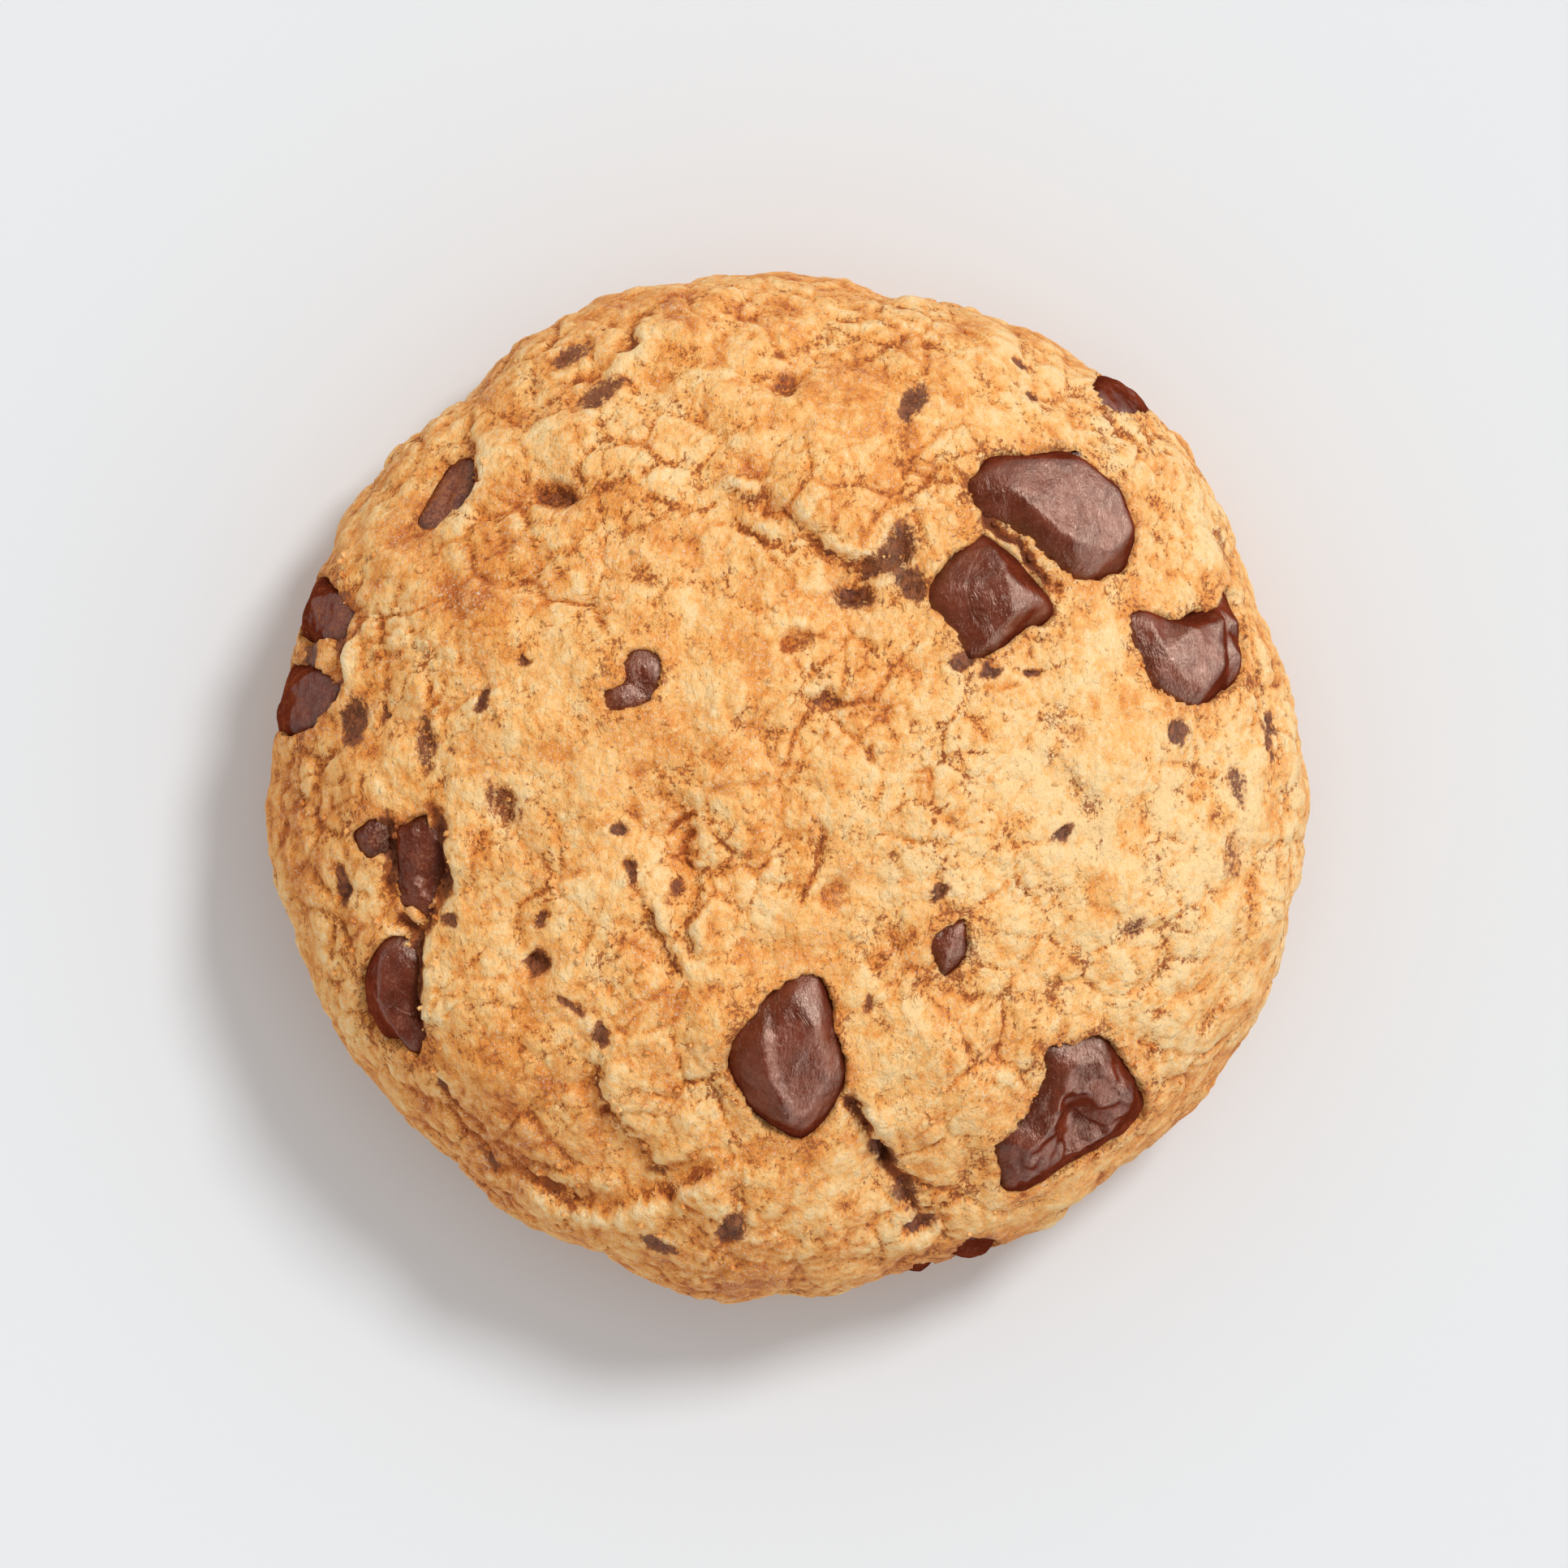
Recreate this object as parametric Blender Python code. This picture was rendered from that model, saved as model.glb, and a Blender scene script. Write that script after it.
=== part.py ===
"""New York style chocolate chip cookie: a thick, domed, craggy cookie with large chocolate chips.

The cookie lies on its flat base. The origin is under the middle of the base, +Z is up and +Y
points to the far edge. Sizes here are in millimetres, and the meshes are in metres.
A spot on the cookie is given in one of two ways. Seen from straight above it is (x, y). On the
steep side it is (degrees round from +X, height over the base).
"""
import math

import bmesh
import bpy
import numpy as np
from mathutils import Vector, noise
from mathutils.geometry import delaunay_2d_cdt

MM = 0.001

# Overall form. The radii of the widest outline stand every 10 degrees, starting at +X.
RIM_RADII = (
    45.1, 44.3, 43.7, 44.1, 45.5, 44.7, 44.6, 43.5, 43.4,
    44.2, 44.4, 44.4, 44.3, 43.6, 44.1, 44.4, 44.1, 43.7,
    44.6, 44.9, 44.1, 43.9, 43.9, 43.5, 44.1, 44.0, 45.1,
    44.3, 43.4, 43.3, 44.2, 43.9, 44.8, 45.3, 45.5, 45.4,
)
TOP_HEIGHT = 35.0
WAIST_HEIGHT = 12.0
BASE_SHARE = 0.84
DOME_FULLNESS = 2.3
MEAN_RADIUS = sum(RIM_RADII) / len(RIM_RADII)
PROFILE_STEPS = 90

# Fineness of the dough's skin: cells across the crown, the share of the way down that they
# cover, and rings on the side below them.
CROWN_CELLS = 40
CROWN_SHARE = 0.52
SIDE_RINGS = 18

# Lumps and hollows: x, y, radius, rise.
LUMPS = (
    (3.6, 25.6, 8.5, 1.5),
    (14.1, -25.5, 7.0, 1.5),
    (-23.0, -24.5, 8.0, 1.7),
    (-10.4, -19.0, 6.5, 1.1),
    (1.5, -35.3, 7.0, 0.9),
    (-23.0, 11.6, 9.0, 1.1),
    (12.7, -2.4, 10.0, 1.0),
    (-15.5, 27.0, 8.0, 1.0),
    (-9.5, 40.0, 6.0, 0.7),
    (33.0, -13.0, 8.0, 0.7),
    (15.0, 37.0, 7.0, 0.6),
    (30.0, 2.5, 6.5, 0.8),
    (-5.5, 7.0, 9.0, 0.6),
    (-8.5, -4.5, 5.0, -1.1),
    (-3.5, 20.5, 5.0, -0.9),
    (5.0, 16.5, 5.0, -1.0),
    (-31.0, -8.0, 5.5, -1.0),
    (-29.5, 25.5, 5.0, -1.3),
    (9.0, -33.5, 4.5, -1.2),
    (35.0, -27.0, 5.5, -0.7),
)

# Ledges and creases. The dough stands proud by `rise` on the left of the path's direction,
# within `reach` of it, and is sunk by `drop` on the right of it.
LEDGES = (
    dict(rise=1.2, drop=1.0, reach=5.0,
         path=((-27.0, 31.6), (-26.9, 28.5), (-26.5, 26.0), (-29.0, 24.0), (-31.5, 21.8))),
    dict(rise=1.0, drop=1.1, reach=4.0,
         path=((-38.7, 19.0), (-38.0, 15.5), (-35.6, 14.8), (-37.5, 12.0), (-38.2, 8.8), (-39.8, 6.0))),
    dict(rise=1.0, drop=1.0, reach=4.5,
         path=((-31.0, -2.6), (-29.8, -5.5), (-30.0, -8.0), (-31.2, -12.5))),
    dict(rise=1.0, drop=1.0, reach=4.5,
         path=((-33.2, -11.2), (-31.4, -15.3), (-31.2, -20.2), (-30.1, -21.2))),
    dict(rise=0.9, drop=1.1, reach=4.5,
         path=((-9.7, 1.0), (-7.9, -3.0), (-7.2, -8.5), (-7.8, -13.0), (-7.2, -15.4))),
    dict(rise=1.1, drop=0.8, reach=5.0, path=((-11.8, -9.4), (-8.3, -16.4), (-7.9, -19.0), (-8.6, -22.7))),
    dict(rise=0.8, drop=0.9, reach=4.0,
         path=((-15.9, -22.7), (-15.5, -26.2), (-14.2, -29.0), (-10.4, -33.9))),
    dict(rise=1.0, drop=0.9, reach=5.0,
         path=((-5.5, -33.0), (-13.0, -36.3), (-16.0, -36.7), (-19.0, -36.0), (-22.5, -33.5),
               (-26.0, -33.0))),
    dict(rise=0.9, drop=1.2, reach=3.5, path=((5.7, -27.6), (7.1, -29.3), (8.9, -32.5), (10.6, -33.9))),
    dict(rise=0.6, drop=0.9, reach=4.5,
         path=((-6.2, 25.3), (-1.0, 24.3), (2.2, 21.4), (5.0, 19.3), (9.2, 19.3), (11.0, 22.0))),
    dict(rise=0.7, drop=0.7, reach=3.5, path=((-0.6, 29.5), (-0.2, 28.1), (-2.0, 26.0), (-6.2, 25.3))),
    dict(rise=0.7, drop=0.8, reach=4.0, path=((23.9, 1.8), (26.0, -1.7), (26.8, -5.2), (30.2, -5.5))),
    dict(rise=0.6, drop=0.6, reach=3.5, path=((-4.8, 3.9), (-2.3, 8.1))),
    dict(rise=0.7, drop=0.7, reach=4.0, path=((-12.5, 39.6), (-12.8, 37.5), (-14.9, 35.8))),
)
LEDGE_EDGE = 0.9
LEDGE_GULLY = 2.2
LEDGE_FADE = 3.0

# Pits: x, y, length, width, degrees of the long way from +X, depth.
PITS = (
    (-30.0, 25.5, 6.0, 3.4, 55.0, 1.6),
    (5.8, 16.8, 3.6, 2.8, 0.0, 1.8),
    (9.6, 20.6, 3.0, 2.4, 60.0, 0.9),
    (0.8, 12.0, 3.0, 1.8, 20.0, 0.9),
    (3.3, 7.2, 2.8, 1.6, -20.0, 0.7),
    (-19.6, 24.6, 4.0, 2.2, -15.0, 0.9),
    (0.3, 34.3, 3.2, 2.2, 40.0, 0.9),
    (11.5, -38.2, 3.0, 1.8, 10.0, 1.2),
    (-24.0, -1.8, 3.0, 2.0, 60.0, 0.8),
    (-20.8, -15.2, 2.6, 1.8, 60.0, 0.8),
    (4.3, -9.6, 3.0, 2.2, 60.0, 0.7),
)

# Grain of the dough: wavelength and height of its waves.
GRAIN = ((13.0, 0.7), (6.0, 0.6), (3.2, 0.35))
BASE_CALM = 5.0

# Chocolate flecks fused to the dough: x, y, length, width, degrees of the long way from +X.
FLECKS = (
    (-36.9, 5.3, 4.0, 2.6, 80.0),
    (-38.2, -9.0, 4.4, 2.0, 75.0),
    (33.0, 4.3, 2.8, 2.2, 100.0),
    (10.8, 32.1, 3.8, 2.0, 60.0),
    (-14.6, 33.3, 3.6, 2.0, 50.0),
    (-19.0, 36.8, 3.4, 2.2, 40.0),
    (23.6, -4.5, 1.9, 1.4, 50.0),
    (29.4, -12.2, 2.6, 1.6, 60.0),
    (38.6, 0.1, 4.0, 1.7, 100.0),
    (38.3, -6.2, 4.0, 2.2, 60.0),
    (41.8, 5.0, 2.8, 1.8, 100.0),
    (-4.8, -37.5, 3.4, 2.0, 60.0),
    (-10.7, -39.2, 3.2, 1.8, 10.0),
    (21.0, 33.5, 2.3, 1.6, 45.0),
    (20.3, 36.3, 1.8, 1.3, 20.0),
    (12.9, -9.0, 1.9, 1.4, 30.0),
    (-25.8, 7.0, 2.2, 1.5, 60.0),
    (-21.0, -16.2, 2.4, 1.5, 60.0),
    (24.3, 4.1, 2.3, 1.7, 0.0),
)
FLECK_THICKNESS = 1.4

# Chocolate chips. `corners` go clockwise round a chip where it leaves the dough. `tops` are the corners of
# its facets, (x, y, rise) or (degrees, height, rise), and `depth` is how far it reaches into the
# dough.
CHIPS = dict(
    chip_upper_right=dict(
        corners=((15.5, 25.8), (17.3, 28.1), (20.4, 28.4), (23.9, 28.8), (26.8, 27.2), (29.2, 24.6),
                 (30.2, 21.1), (29.2, 18.4), (25.7, 17.1), (22.7, 18.8), (19.3, 21.8), (16.5, 23.2)),
        tops=((17.4, 26.0, 1.3), (18.4, 24.6, 1.8), (20.6, 27.3, 1.5), (24.6, 27.3, 1.7),
              (28.0, 24.6, 1.7), (29.2, 21.3, 1.6), (27.2, 19.2, 1.6), (24.0, 19.9, 2.0),
              (20.6, 22.6, 2.2)),
        depth=5.0),
    chip_cone=dict(
        corners=((16.5, 21.4), (18.4, 20.6), (20.0, 19.2), (21.7, 17.3), (23.0, 15.6), (22.9, 14.2),
                 (20.8, 13.1), (17.8, 10.9), (15.5, 10.6), (13.4, 13.6), (11.9, 16.2), (13.7, 19.2)),
        tops=((17.3, 19.9, 1.7), (18.3, 17.2, 2.9), (18.9, 14.0, 2.5), (21.8, 15.4, 1.4),
              (17.2, 12.2, 1.3), (13.6, 16.4, 0.9)),
        depth=5.0),
    chip_right=dict(
        corners=((29.0, 14.3), (30.3, 15.2), (32.9, 14.3), (35.1, 14.8), (36.7, 15.4), (37.7, 17.2),
                 (38.7, 15.1), (39.3, 12.0), (39.1, 8.8), (37.4, 7.6), (35.1, 6.2), (33.2, 7.0),
                 (31.2, 8.3), (30.4, 10.1), (29.6, 12.2)),
        tops=((30.5, 13.9, 0.9), (31.6, 11.2, 1.3), (33.3, 8.5, 1.3), (33.6, 12.9, 2.0),
              (36.4, 13.8, 2.0), (36.5, 9.8, 2.0), (37.4, 13.4, 0.3), (37.6, 10.2, 0.4),
              (38.4, 13.6, 1.1), (38.5, 10.6, 1.2), (35.0, 7.6, 1.3)),
        depth=4.5),
    chip_lower_middle=dict(
        corners=((1.2, -16.0), (2.8, -16.2), (4.2, -19.5), (5.4, -24.8), (3.8, -28.4), (1.2, -30.4),
                 (-2.7, -28.3), (-4.8, -25.1), (-4.8, -21.3), (-1.6, -17.9)),
        tops=((0.8, -17.6, 1.2), (-1.9, -21.4, 2.2), (-1.5, -24.2, 2.6), (-0.3, -26.6, 2.4),
              (0.2, -28.5, 1.8), (-1.1, -21.2, 1.6), (-0.6, -24.0, 1.9), (0.6, -26.2, 1.8),
              (1.7, -27.6, 1.7), (2.6, -20.0, 1.7), (3.6, -24.6, 1.4), (-3.6, -23.0, 1.3)),
        depth=5.0),
    chip_lower_right=dict(
        corners=((22.2, -22.3), (25.0, -21.6), (27.4, -21.6), (30.1, -24.8), (31.2, -28.3),
                 (29.2, -30.5), (24.4, -33.0), (20.8, -35.3), (18.7, -35.1), (18.0, -30.7),
                 (20.1, -28.3), (21.8, -24.8)),
        tops=((23.5, -23.2, 1.3), (26.6, -23.0, 1.8), (29.3, -25.4, 1.9), (25.8, -25.7, 1.7),
              (23.2, -25.7, 1.5), (22.3, -28.2, 1.6), (24.6, -28.4, -0.4), (27.4, -29.2, 1.5),
              (20.3, -30.4, 1.5), (20.7, -33.2, 1.2), (23.6, -31.4, 1.2)),
        depth=4.5),
    chip_small_middle=dict(
        corners=((12.7, -12.0), (15.5, -11.3), (15.5, -14.6), (13.4, -16.4), (11.9, -13.9)),
        tops=((14.4, -12.5, 0.7), (13.3, -14.4, 0.9)), depth=2.6),
    chip_left_middle=dict(
        corners=((-12.5, 11.8), (-10.5, 10.8), (-10.7, 8.1), (-12.5, 6.0), (-15.4, 6.0),
                 (-15.6, 7.8), (-14.2, 8.5), (-13.9, 10.6)),
        tops=((-12.0, 10.0, 0.2), (-12.3, 8.3, -0.2), (-13.9, 7.1, 0.4)), depth=2.8),
    chip_left_small=dict(
        corners=((-37.2, -4.4), (-36.4, -3.1), (-35.2, -2.7), (-34.5, -3.6), (-34.4, -5.4),
                 (-35.2, -6.4), (-36.5, -6.3)),
        tops=((-35.9, -4.2, 0.7), (-35.4, -5.3, 0.6)), depth=2.6),
    chip_left_melted=dict(
        corners=((-33.7, -3.4), (-32.2, -3.0), (-30.8, -2.8), (-29.7, -5.3), (-29.8, -7.6),
                 (-30.3, -10.0), (-30.8, -11.9), (-32.0, -11.2), (-33.6, -10.6), (-33.9, -7.5)),
        tops=((-32.4, -4.6, 0.6), (-32.0, -7.2, 0.3), (-31.8, -9.8, 0.6)), depth=3.2),
    chip_lower_left=dict(
        corners=((-36.0, -15.0), (-34.8, -13.2), (-33.3, -12.8), (-31.8, -15.2), (-31.6, -17.6),
                 (-31.3, -19.9), (-30.3, -21.2), (-31.2, -23.5), (-32.6, -22.2), (-34.6, -21.9),
                 (-36.1, -19.6), (-36.5, -17.2)),
        tops=((-34.2, -15.0, 1.0), (-34.0, -18.0, 1.4), (-32.6, -21.0, 1.1)), depth=3.6),
    chip_upper_left=dict(
        corners=((-31.2, 25.8), (-29.0, 28.6), (-27.0, 28.4), (-27.4, 25.2), (-29.6, 22.4),
                 (-32.3, 22.6)),
        tops=((-29.8, 24.4, -0.2), (-28.8, 26.6, -0.2)), depth=2.8),
    chip_left_side_upper=dict(
        beside=True,
        corners=((155.5, 14.0), (156.5, 20.0), (160.0, 22.5), (163.0, 20.5), (163.6, 14.0),
                 (160.5, 9.5), (157.0, 10.0)),
        tops=((158.5, 17.0, 0.6), (161.0, 16.0, 0.6)), depth=4.2),
    chip_left_side_lower=dict(
        beside=True,
        corners=((165.6, 12.0), (165.8, 19.5), (168.0, 23.0), (172.0, 21.5), (174.6, 17.5),
                 (175.0, 11.5), (171.0, 8.5), (167.5, 8.8)),
        tops=((168.8, 17.0, 0.7), (171.8, 14.5, 0.7)), depth=4.4),
    chip_rim_upper_right=dict(
        beside=True,
        corners=((45.0, 12.0), (46.0, 16.5), (49.0, 19.5), (52.0, 18.5), (53.2, 13.5),
                 (50.0, 9.5), (46.5, 9.5)),
        tops=((48.0, 14.5, 0.7), (50.5, 14.5, 0.7)), depth=3.6),
    chip_rim_lower_right=dict(
        beside=True,
        corners=((289.0, 12.5), (290.0, 17.0), (292.5, 18.5), (295.0, 16.0), (294.6, 10.5),
                 (291.0, 8.5)),
        tops=((291.0, 13.5, 0.6), (293.0, 13.0, 0.6)), depth=3.0),
    chip_rim_bottom=dict(
        beside=True,
        corners=((283.3, 11.0), (284.5, 15.0), (286.8, 15.2), (287.6, 11.0), (285.5, 8.5)),
        tops=((285.0, 12.0, 0.4), (286.0, 12.0, 0.4)), depth=2.4),
)
CHIP_LOWER_RINGS = ((0.9, 0.45), (0.55, 1.0))
SHARPEST_CORNER = 0.4
GAP = 0.4
MOUTH_HEIGHT = 6.0
MOUTH_FLARE = 1.02

# Colours as seen, each channel from 0 to 255, with roughness.
DOUGH_LOOK = ((226, 165, 104), 0.85)
CHIP_LOOK = ((110, 60, 44), 0.4)


def clear_scene():
    """Start from an empty scene."""
    for item in list(bpy.data.objects):
        bpy.data.objects.remove(item, do_unlink=True)


def rim_radius(turn):
    """Radius of the widest outline at an angle from +X, on a smooth closed curve."""
    place = np.asarray(turn) / (2 * math.pi) * len(RIM_RADII)
    knot = np.floor(place).astype(int)
    part = place - knot
    before, start, end, after = (
        np.take(RIM_RADII, knot + shift, mode="wrap") for shift in (-1, 0, 1, 2)
    )
    slope = (end - before) / 2
    bend = before - 2.5 * start + 2 * end - after / 2
    twist = (after - before) / 2 + 1.5 * (start - end)
    return start + part * (slope + part * (bend + part * twist))


def side_profile():
    """Travel from crown to base edge, with the share of the outline's radius and the height."""
    upper = np.linspace(0, math.pi / 2, PROFILE_STEPS)
    lower = upper[1:]
    share = np.concatenate([
        np.sin(upper) ** (2 / DOME_FULLNESS),
        BASE_SHARE + (1 - BASE_SHARE) * np.cos(lower),
    ])
    height = np.concatenate([
        WAIST_HEIGHT + (TOP_HEIGHT - WAIST_HEIGHT) * np.cos(upper),
        WAIST_HEIGHT * (1 - np.sin(lower)),
    ])
    steps = np.hypot(np.diff(share * MEAN_RADIUS), np.diff(height))
    travel = np.concatenate([[0], np.cumsum(steps)])
    return travel / travel[-1], share, height


TRAVEL, SHARE, HEIGHT = side_profile()


def form(turn, travel):
    """Points of the smooth cookie at angles from +X and shares of the way from crown to base."""
    radius = rim_radius(turn) * np.interp(travel, TRAVEL, SHARE)
    height = np.interp(travel, TRAVEL, HEIGHT)
    return np.stack([radius * np.cos(turn), radius * np.sin(turn), height], axis=-1)


def outward(turn, travel):
    """Directions straight out of the smooth cookie."""
    step = 0.004
    down = form(turn, travel + step) - form(turn, np.maximum(travel - step, 0))
    around = form(turn + step, travel) - form(turn - step, travel)
    normal = np.cross(down, around)
    normal += np.array([0, 0, 1e-9])
    return normal / np.linalg.norm(normal, axis=-1, keepdims=True)


def above(x, y):
    """Angle and travel of a spot seen from straight above."""
    turn = math.atan2(y, x)
    share = math.hypot(x, y) / rim_radius(turn)
    return turn, np.interp(share, SHARE[:PROFILE_STEPS], TRAVEL[:PROFILE_STEPS])


def beside(degrees, height):
    """Angle and travel of a spot on the side."""
    return math.radians(degrees), np.interp(-height, -HEIGHT, TRAVEL)


def lump_rise(points):
    """Rise of the lumps and hollows at points on the smooth form."""
    rise = np.zeros(len(points))
    for x, y, radius, height in LUMPS:
        away = np.linalg.norm(points - form(*above(x, y)), axis=1)
        rise += height * np.exp(-(away / radius) ** 2)
    return rise


def nearest_on_path(points, path):
    """Offset from the nearest spot of a path, its direction there and its distance from an end."""
    best = np.full(len(points), np.inf)
    offset = np.zeros_like(points)
    heading = np.zeros_like(points)
    run = np.zeros(len(points))
    lengths = np.linalg.norm(np.diff(path, axis=0), axis=1)
    passed = 0.0
    for start, end, length in zip(path, path[1:], lengths):
        along = (end - start) / length
        reach = np.clip((points - start) @ along, 0, length)
        away = points - (start + reach[:, None] * along)
        distance = np.linalg.norm(away, axis=1)
        nearer = distance < best
        best[nearer] = distance[nearer]
        offset[nearer] = away[nearer]
        heading[nearer] = along
        run[nearer] = passed + reach[nearer]
        passed += length
    return offset, heading, np.minimum(run, passed - run)


def ledge_rise(points, normals, ledge):
    """Rise of one ledge: proud on the left of its path, with a gully on the right."""
    path = np.array([form(*above(x, y)) for x, y in ledge["path"]])
    offset, heading, from_end = nearest_on_path(points, path)
    left = np.cross(normals, heading)
    side = np.einsum("ij,ij->i", offset, left)
    distance = np.linalg.norm(offset, axis=1)
    climb = 0.5 + 0.5 * np.tanh(side / LEDGE_EDGE)
    proud = ledge["rise"] * climb * np.exp(-(distance / ledge["reach"]) ** 2)
    gully = ledge["drop"] * (1 - climb) * np.exp(-(distance / LEDGE_GULLY) ** 2)
    return (proud - gully) * np.clip((from_end + 1) / LEDGE_FADE, 0, 1)


def pit_depth(points, x, y, length, width, degrees, depth):
    """Depth of one oval pit."""
    turn, travel = above(x, y)
    centre = form(turn, travel)
    normal = outward(turn, travel)
    heading = np.array([math.cos(math.radians(degrees)), math.sin(math.radians(degrees)), 0])
    long_way = heading - normal * (heading @ normal)
    long_way /= np.linalg.norm(long_way)
    short_way = np.cross(normal, long_way)
    away = points - centre
    oval = (away @ long_way / length) ** 2 + (away @ short_way / width) ** 2
    return depth * np.exp(-4 * (oval + (away @ normal / length) ** 2))


def grain_rise(points):
    """Rise of the dough's uneven grain."""
    rise = np.zeros(len(points))
    for wavelength, height in GRAIN:
        rise += [height * noise.noise(Vector(point) / wavelength) for point in points]
    return rise


def relief(points, normals):
    """Rise of the dough's surface over the smooth form, calm towards the base."""
    rise = lump_rise(points) + grain_rise(points)
    for ledge in LEDGES:
        rise += ledge_rise(points, normals, ledge)
    for pit in PITS:
        rise -= pit_depth(points, *pit)
    return rise * np.clip(points[:, 2] / BASE_CALM, 0, 1) ** 2


def skin_grid():
    """Angle and travel of each point of the dough's skin, with the faces between them.

    A square grid is bent into a disc over the crown. Rings carry on from its edge to the base.
    """
    half = CROWN_CELLS // 2
    row, column = np.mgrid[-half:half + 1, -half:half + 1].reshape(2, -1)
    ring = np.maximum(abs(row), abs(column))
    across = np.where(ring == 0, 1, ring)
    quarter = math.pi / 4
    turn = np.select(
        [(column == ring) & (abs(row) <= ring), row == ring, column == -ring],
        [quarter * row / across, quarter * (2 - column / across), quarter * (4 - row / across)],
        quarter * (6 + column / across),
    )
    travel = CROWN_SHARE * ring / half
    width = CROWN_CELLS + 1
    cells = [(i * width + j, i * width + j + 1, (i + 1) * width + j + 1, (i + 1) * width + j)
             for i in range(CROWN_CELLS) for j in range(CROWN_CELLS)]

    sides = 4 * CROWN_CELLS
    edge = np.flatnonzero(ring == half)
    edge = edge[np.argsort(np.round(turn[edge] % (2 * math.pi), 6))]
    side_turn = np.arange(sides) * 2 * math.pi / sides
    inner = list(edge)
    first = len(turn)
    for level in np.linspace(CROWN_SHARE, 1, SIDE_RINGS + 1)[1:]:
        outer = list(range(first, first + sides))
        cells += [(inner[k - 1], outer[k - 1], outer[k], inner[k]) for k in range(sides)]
        turn = np.concatenate([turn, side_turn])
        travel = np.concatenate([travel, np.full(sides, level)])
        inner = outer
        first += sides
    base = tuple(reversed(inner))
    return turn, travel, cells + [base]


def new_object(name, points, faces, material=None):
    """Make an object from points in millimetres, with its faces pointing out."""
    mesh = bpy.data.meshes.new(name)
    mesh.from_pydata((np.asarray(points) * MM).tolist(), [], faces)
    shape = bmesh.new()
    shape.from_mesh(mesh)
    bmesh.ops.recalc_face_normals(shape, faces=shape.faces)
    shape.to_mesh(mesh)
    shape.free()
    if material:
        mesh.materials.append(material)
    item = bpy.data.objects.new(name, mesh)
    bpy.context.scene.collection.objects.link(item)
    return item


def seen_colour(channels):
    """A colour as seen, from 0 to 255 a channel, as the linear colour of a material."""
    shares = [channel / 255 for channel in channels]
    linear = [share / 12.92 if share <= 0.04045 else ((share + 0.055) / 1.055) ** 2.4 for share in shares]
    return linear + [1]


def make_material(name, look):
    """A plain material of one colour and roughness."""
    colour, roughness = look
    material = bpy.data.materials.new(name)
    material.use_nodes = True
    shader = material.node_tree.nodes["Principled BSDF"]
    shader.inputs["Base Color"].default_value = seen_colour(colour)
    shader.inputs["Roughness"].default_value = roughness
    shader.inputs["Metallic"].default_value = 0
    material.diffuse_color = seen_colour(colour)
    return material


def raised(spots, by_side):
    """Points on the lumpy dough at spots, and the mean direction out of it."""
    places = [beside(*spot) if by_side else above(*spot) for spot in spots]
    turn, travel = np.array(places).T
    points = form(turn, travel)
    normals = outward(turn, travel)
    out = normals.mean(axis=0)
    return points + normals * lump_rise(points)[:, None], out / np.linalg.norm(out)


def outline_push(flat, out):
    """The push at each corner of a flat clockwise outline that moves all its edges out by one."""
    edges = np.roll(flat, -1, axis=0) - flat
    after = np.cross(out, edges / np.linalg.norm(edges, axis=1, keepdims=True))
    before = np.roll(after, 1, axis=0)
    turned = 1 + np.einsum("ij,ij->i", before, after)
    return (before + after) / np.maximum(turned, SHARPEST_CORNER)[:, None]


def chip_rings(chip, gap=0.0):
    """Rings of a chip from its lowest up to its rim, and the direction out of the dough."""
    rim, out = raised(chip["corners"], chip.get("beside"))
    spread = rim - rim.mean(axis=0)
    swing = np.outer(spread @ out, out)
    spread -= swing
    rim = rim + gap * outline_push(spread, out)
    rings = [rim]
    for size, share in CHIP_LOWER_RINGS:
        sunk = rim - (1 - size) * spread - swing * share - out * (chip["depth"] * share + gap)
        rings.insert(0, sunk)
    return rings, out


def ring_faces(rings):
    """The face under the lowest ring, and the faces between the rings."""
    count = len(rings[0])
    faces = [tuple(range(count))]
    for level in range(len(rings) - 1):
        low = level * count
        high = low + count
        faces += [(low + k, low + (k + 1) % count, high + (k + 1) % count, high + k) for k in range(count)]
    return faces


def facets(rim, tops, out):
    """The triangles of a chip's top, as places in its rim's corners followed by its tops."""
    across = np.cross(out, (0, 1, 0))
    across /= np.linalg.norm(across)
    axes = np.stack([across, np.cross(out, across)], axis=1)
    flat = [Vector(spot) for spot in (np.concatenate([rim, tops]) @ axes).tolist()]
    edges = [(k, (k + 1) % len(rim)) for k in range(len(rim))]
    _, _, triangles, origins, _, _ = delaunay_2d_cdt(flat, edges, [], 1, 1e-6)
    return [tuple(origins[corner][0] for corner in triangle) for triangle in triangles]


def make_chip(name, chip, material):
    """One chocolate chip, with facets over its rim."""
    rings, out = chip_rings(chip)
    tops, _ = raised([top[:2] for top in chip["tops"]], chip.get("beside"))
    tops += np.outer([top[2] for top in chip["tops"]], out)
    first = (len(rings) - 1) * len(rings[-1])
    faces = ring_faces(rings) + [tuple(first + k for k in facet) for facet in facets(rings[-1], tops, out)]
    return new_object(name, np.concatenate([*rings, tops]), faces, material)


def make_pocket(name, chip):
    """The space that a chip takes in the dough, open to the outside."""
    rings, out = chip_rings(chip, GAP)
    rim = rings[-1]
    rings.append(rim.mean(axis=0) + MOUTH_FLARE * (rim - rim.mean(axis=0)) + out * MOUTH_HEIGHT)
    faces = ring_faces(rings)
    faces.append(tuple((len(rings) - 1) * len(rim) + k for k in range(len(rim))))
    return new_object(name, np.concatenate(rings), faces)


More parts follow.
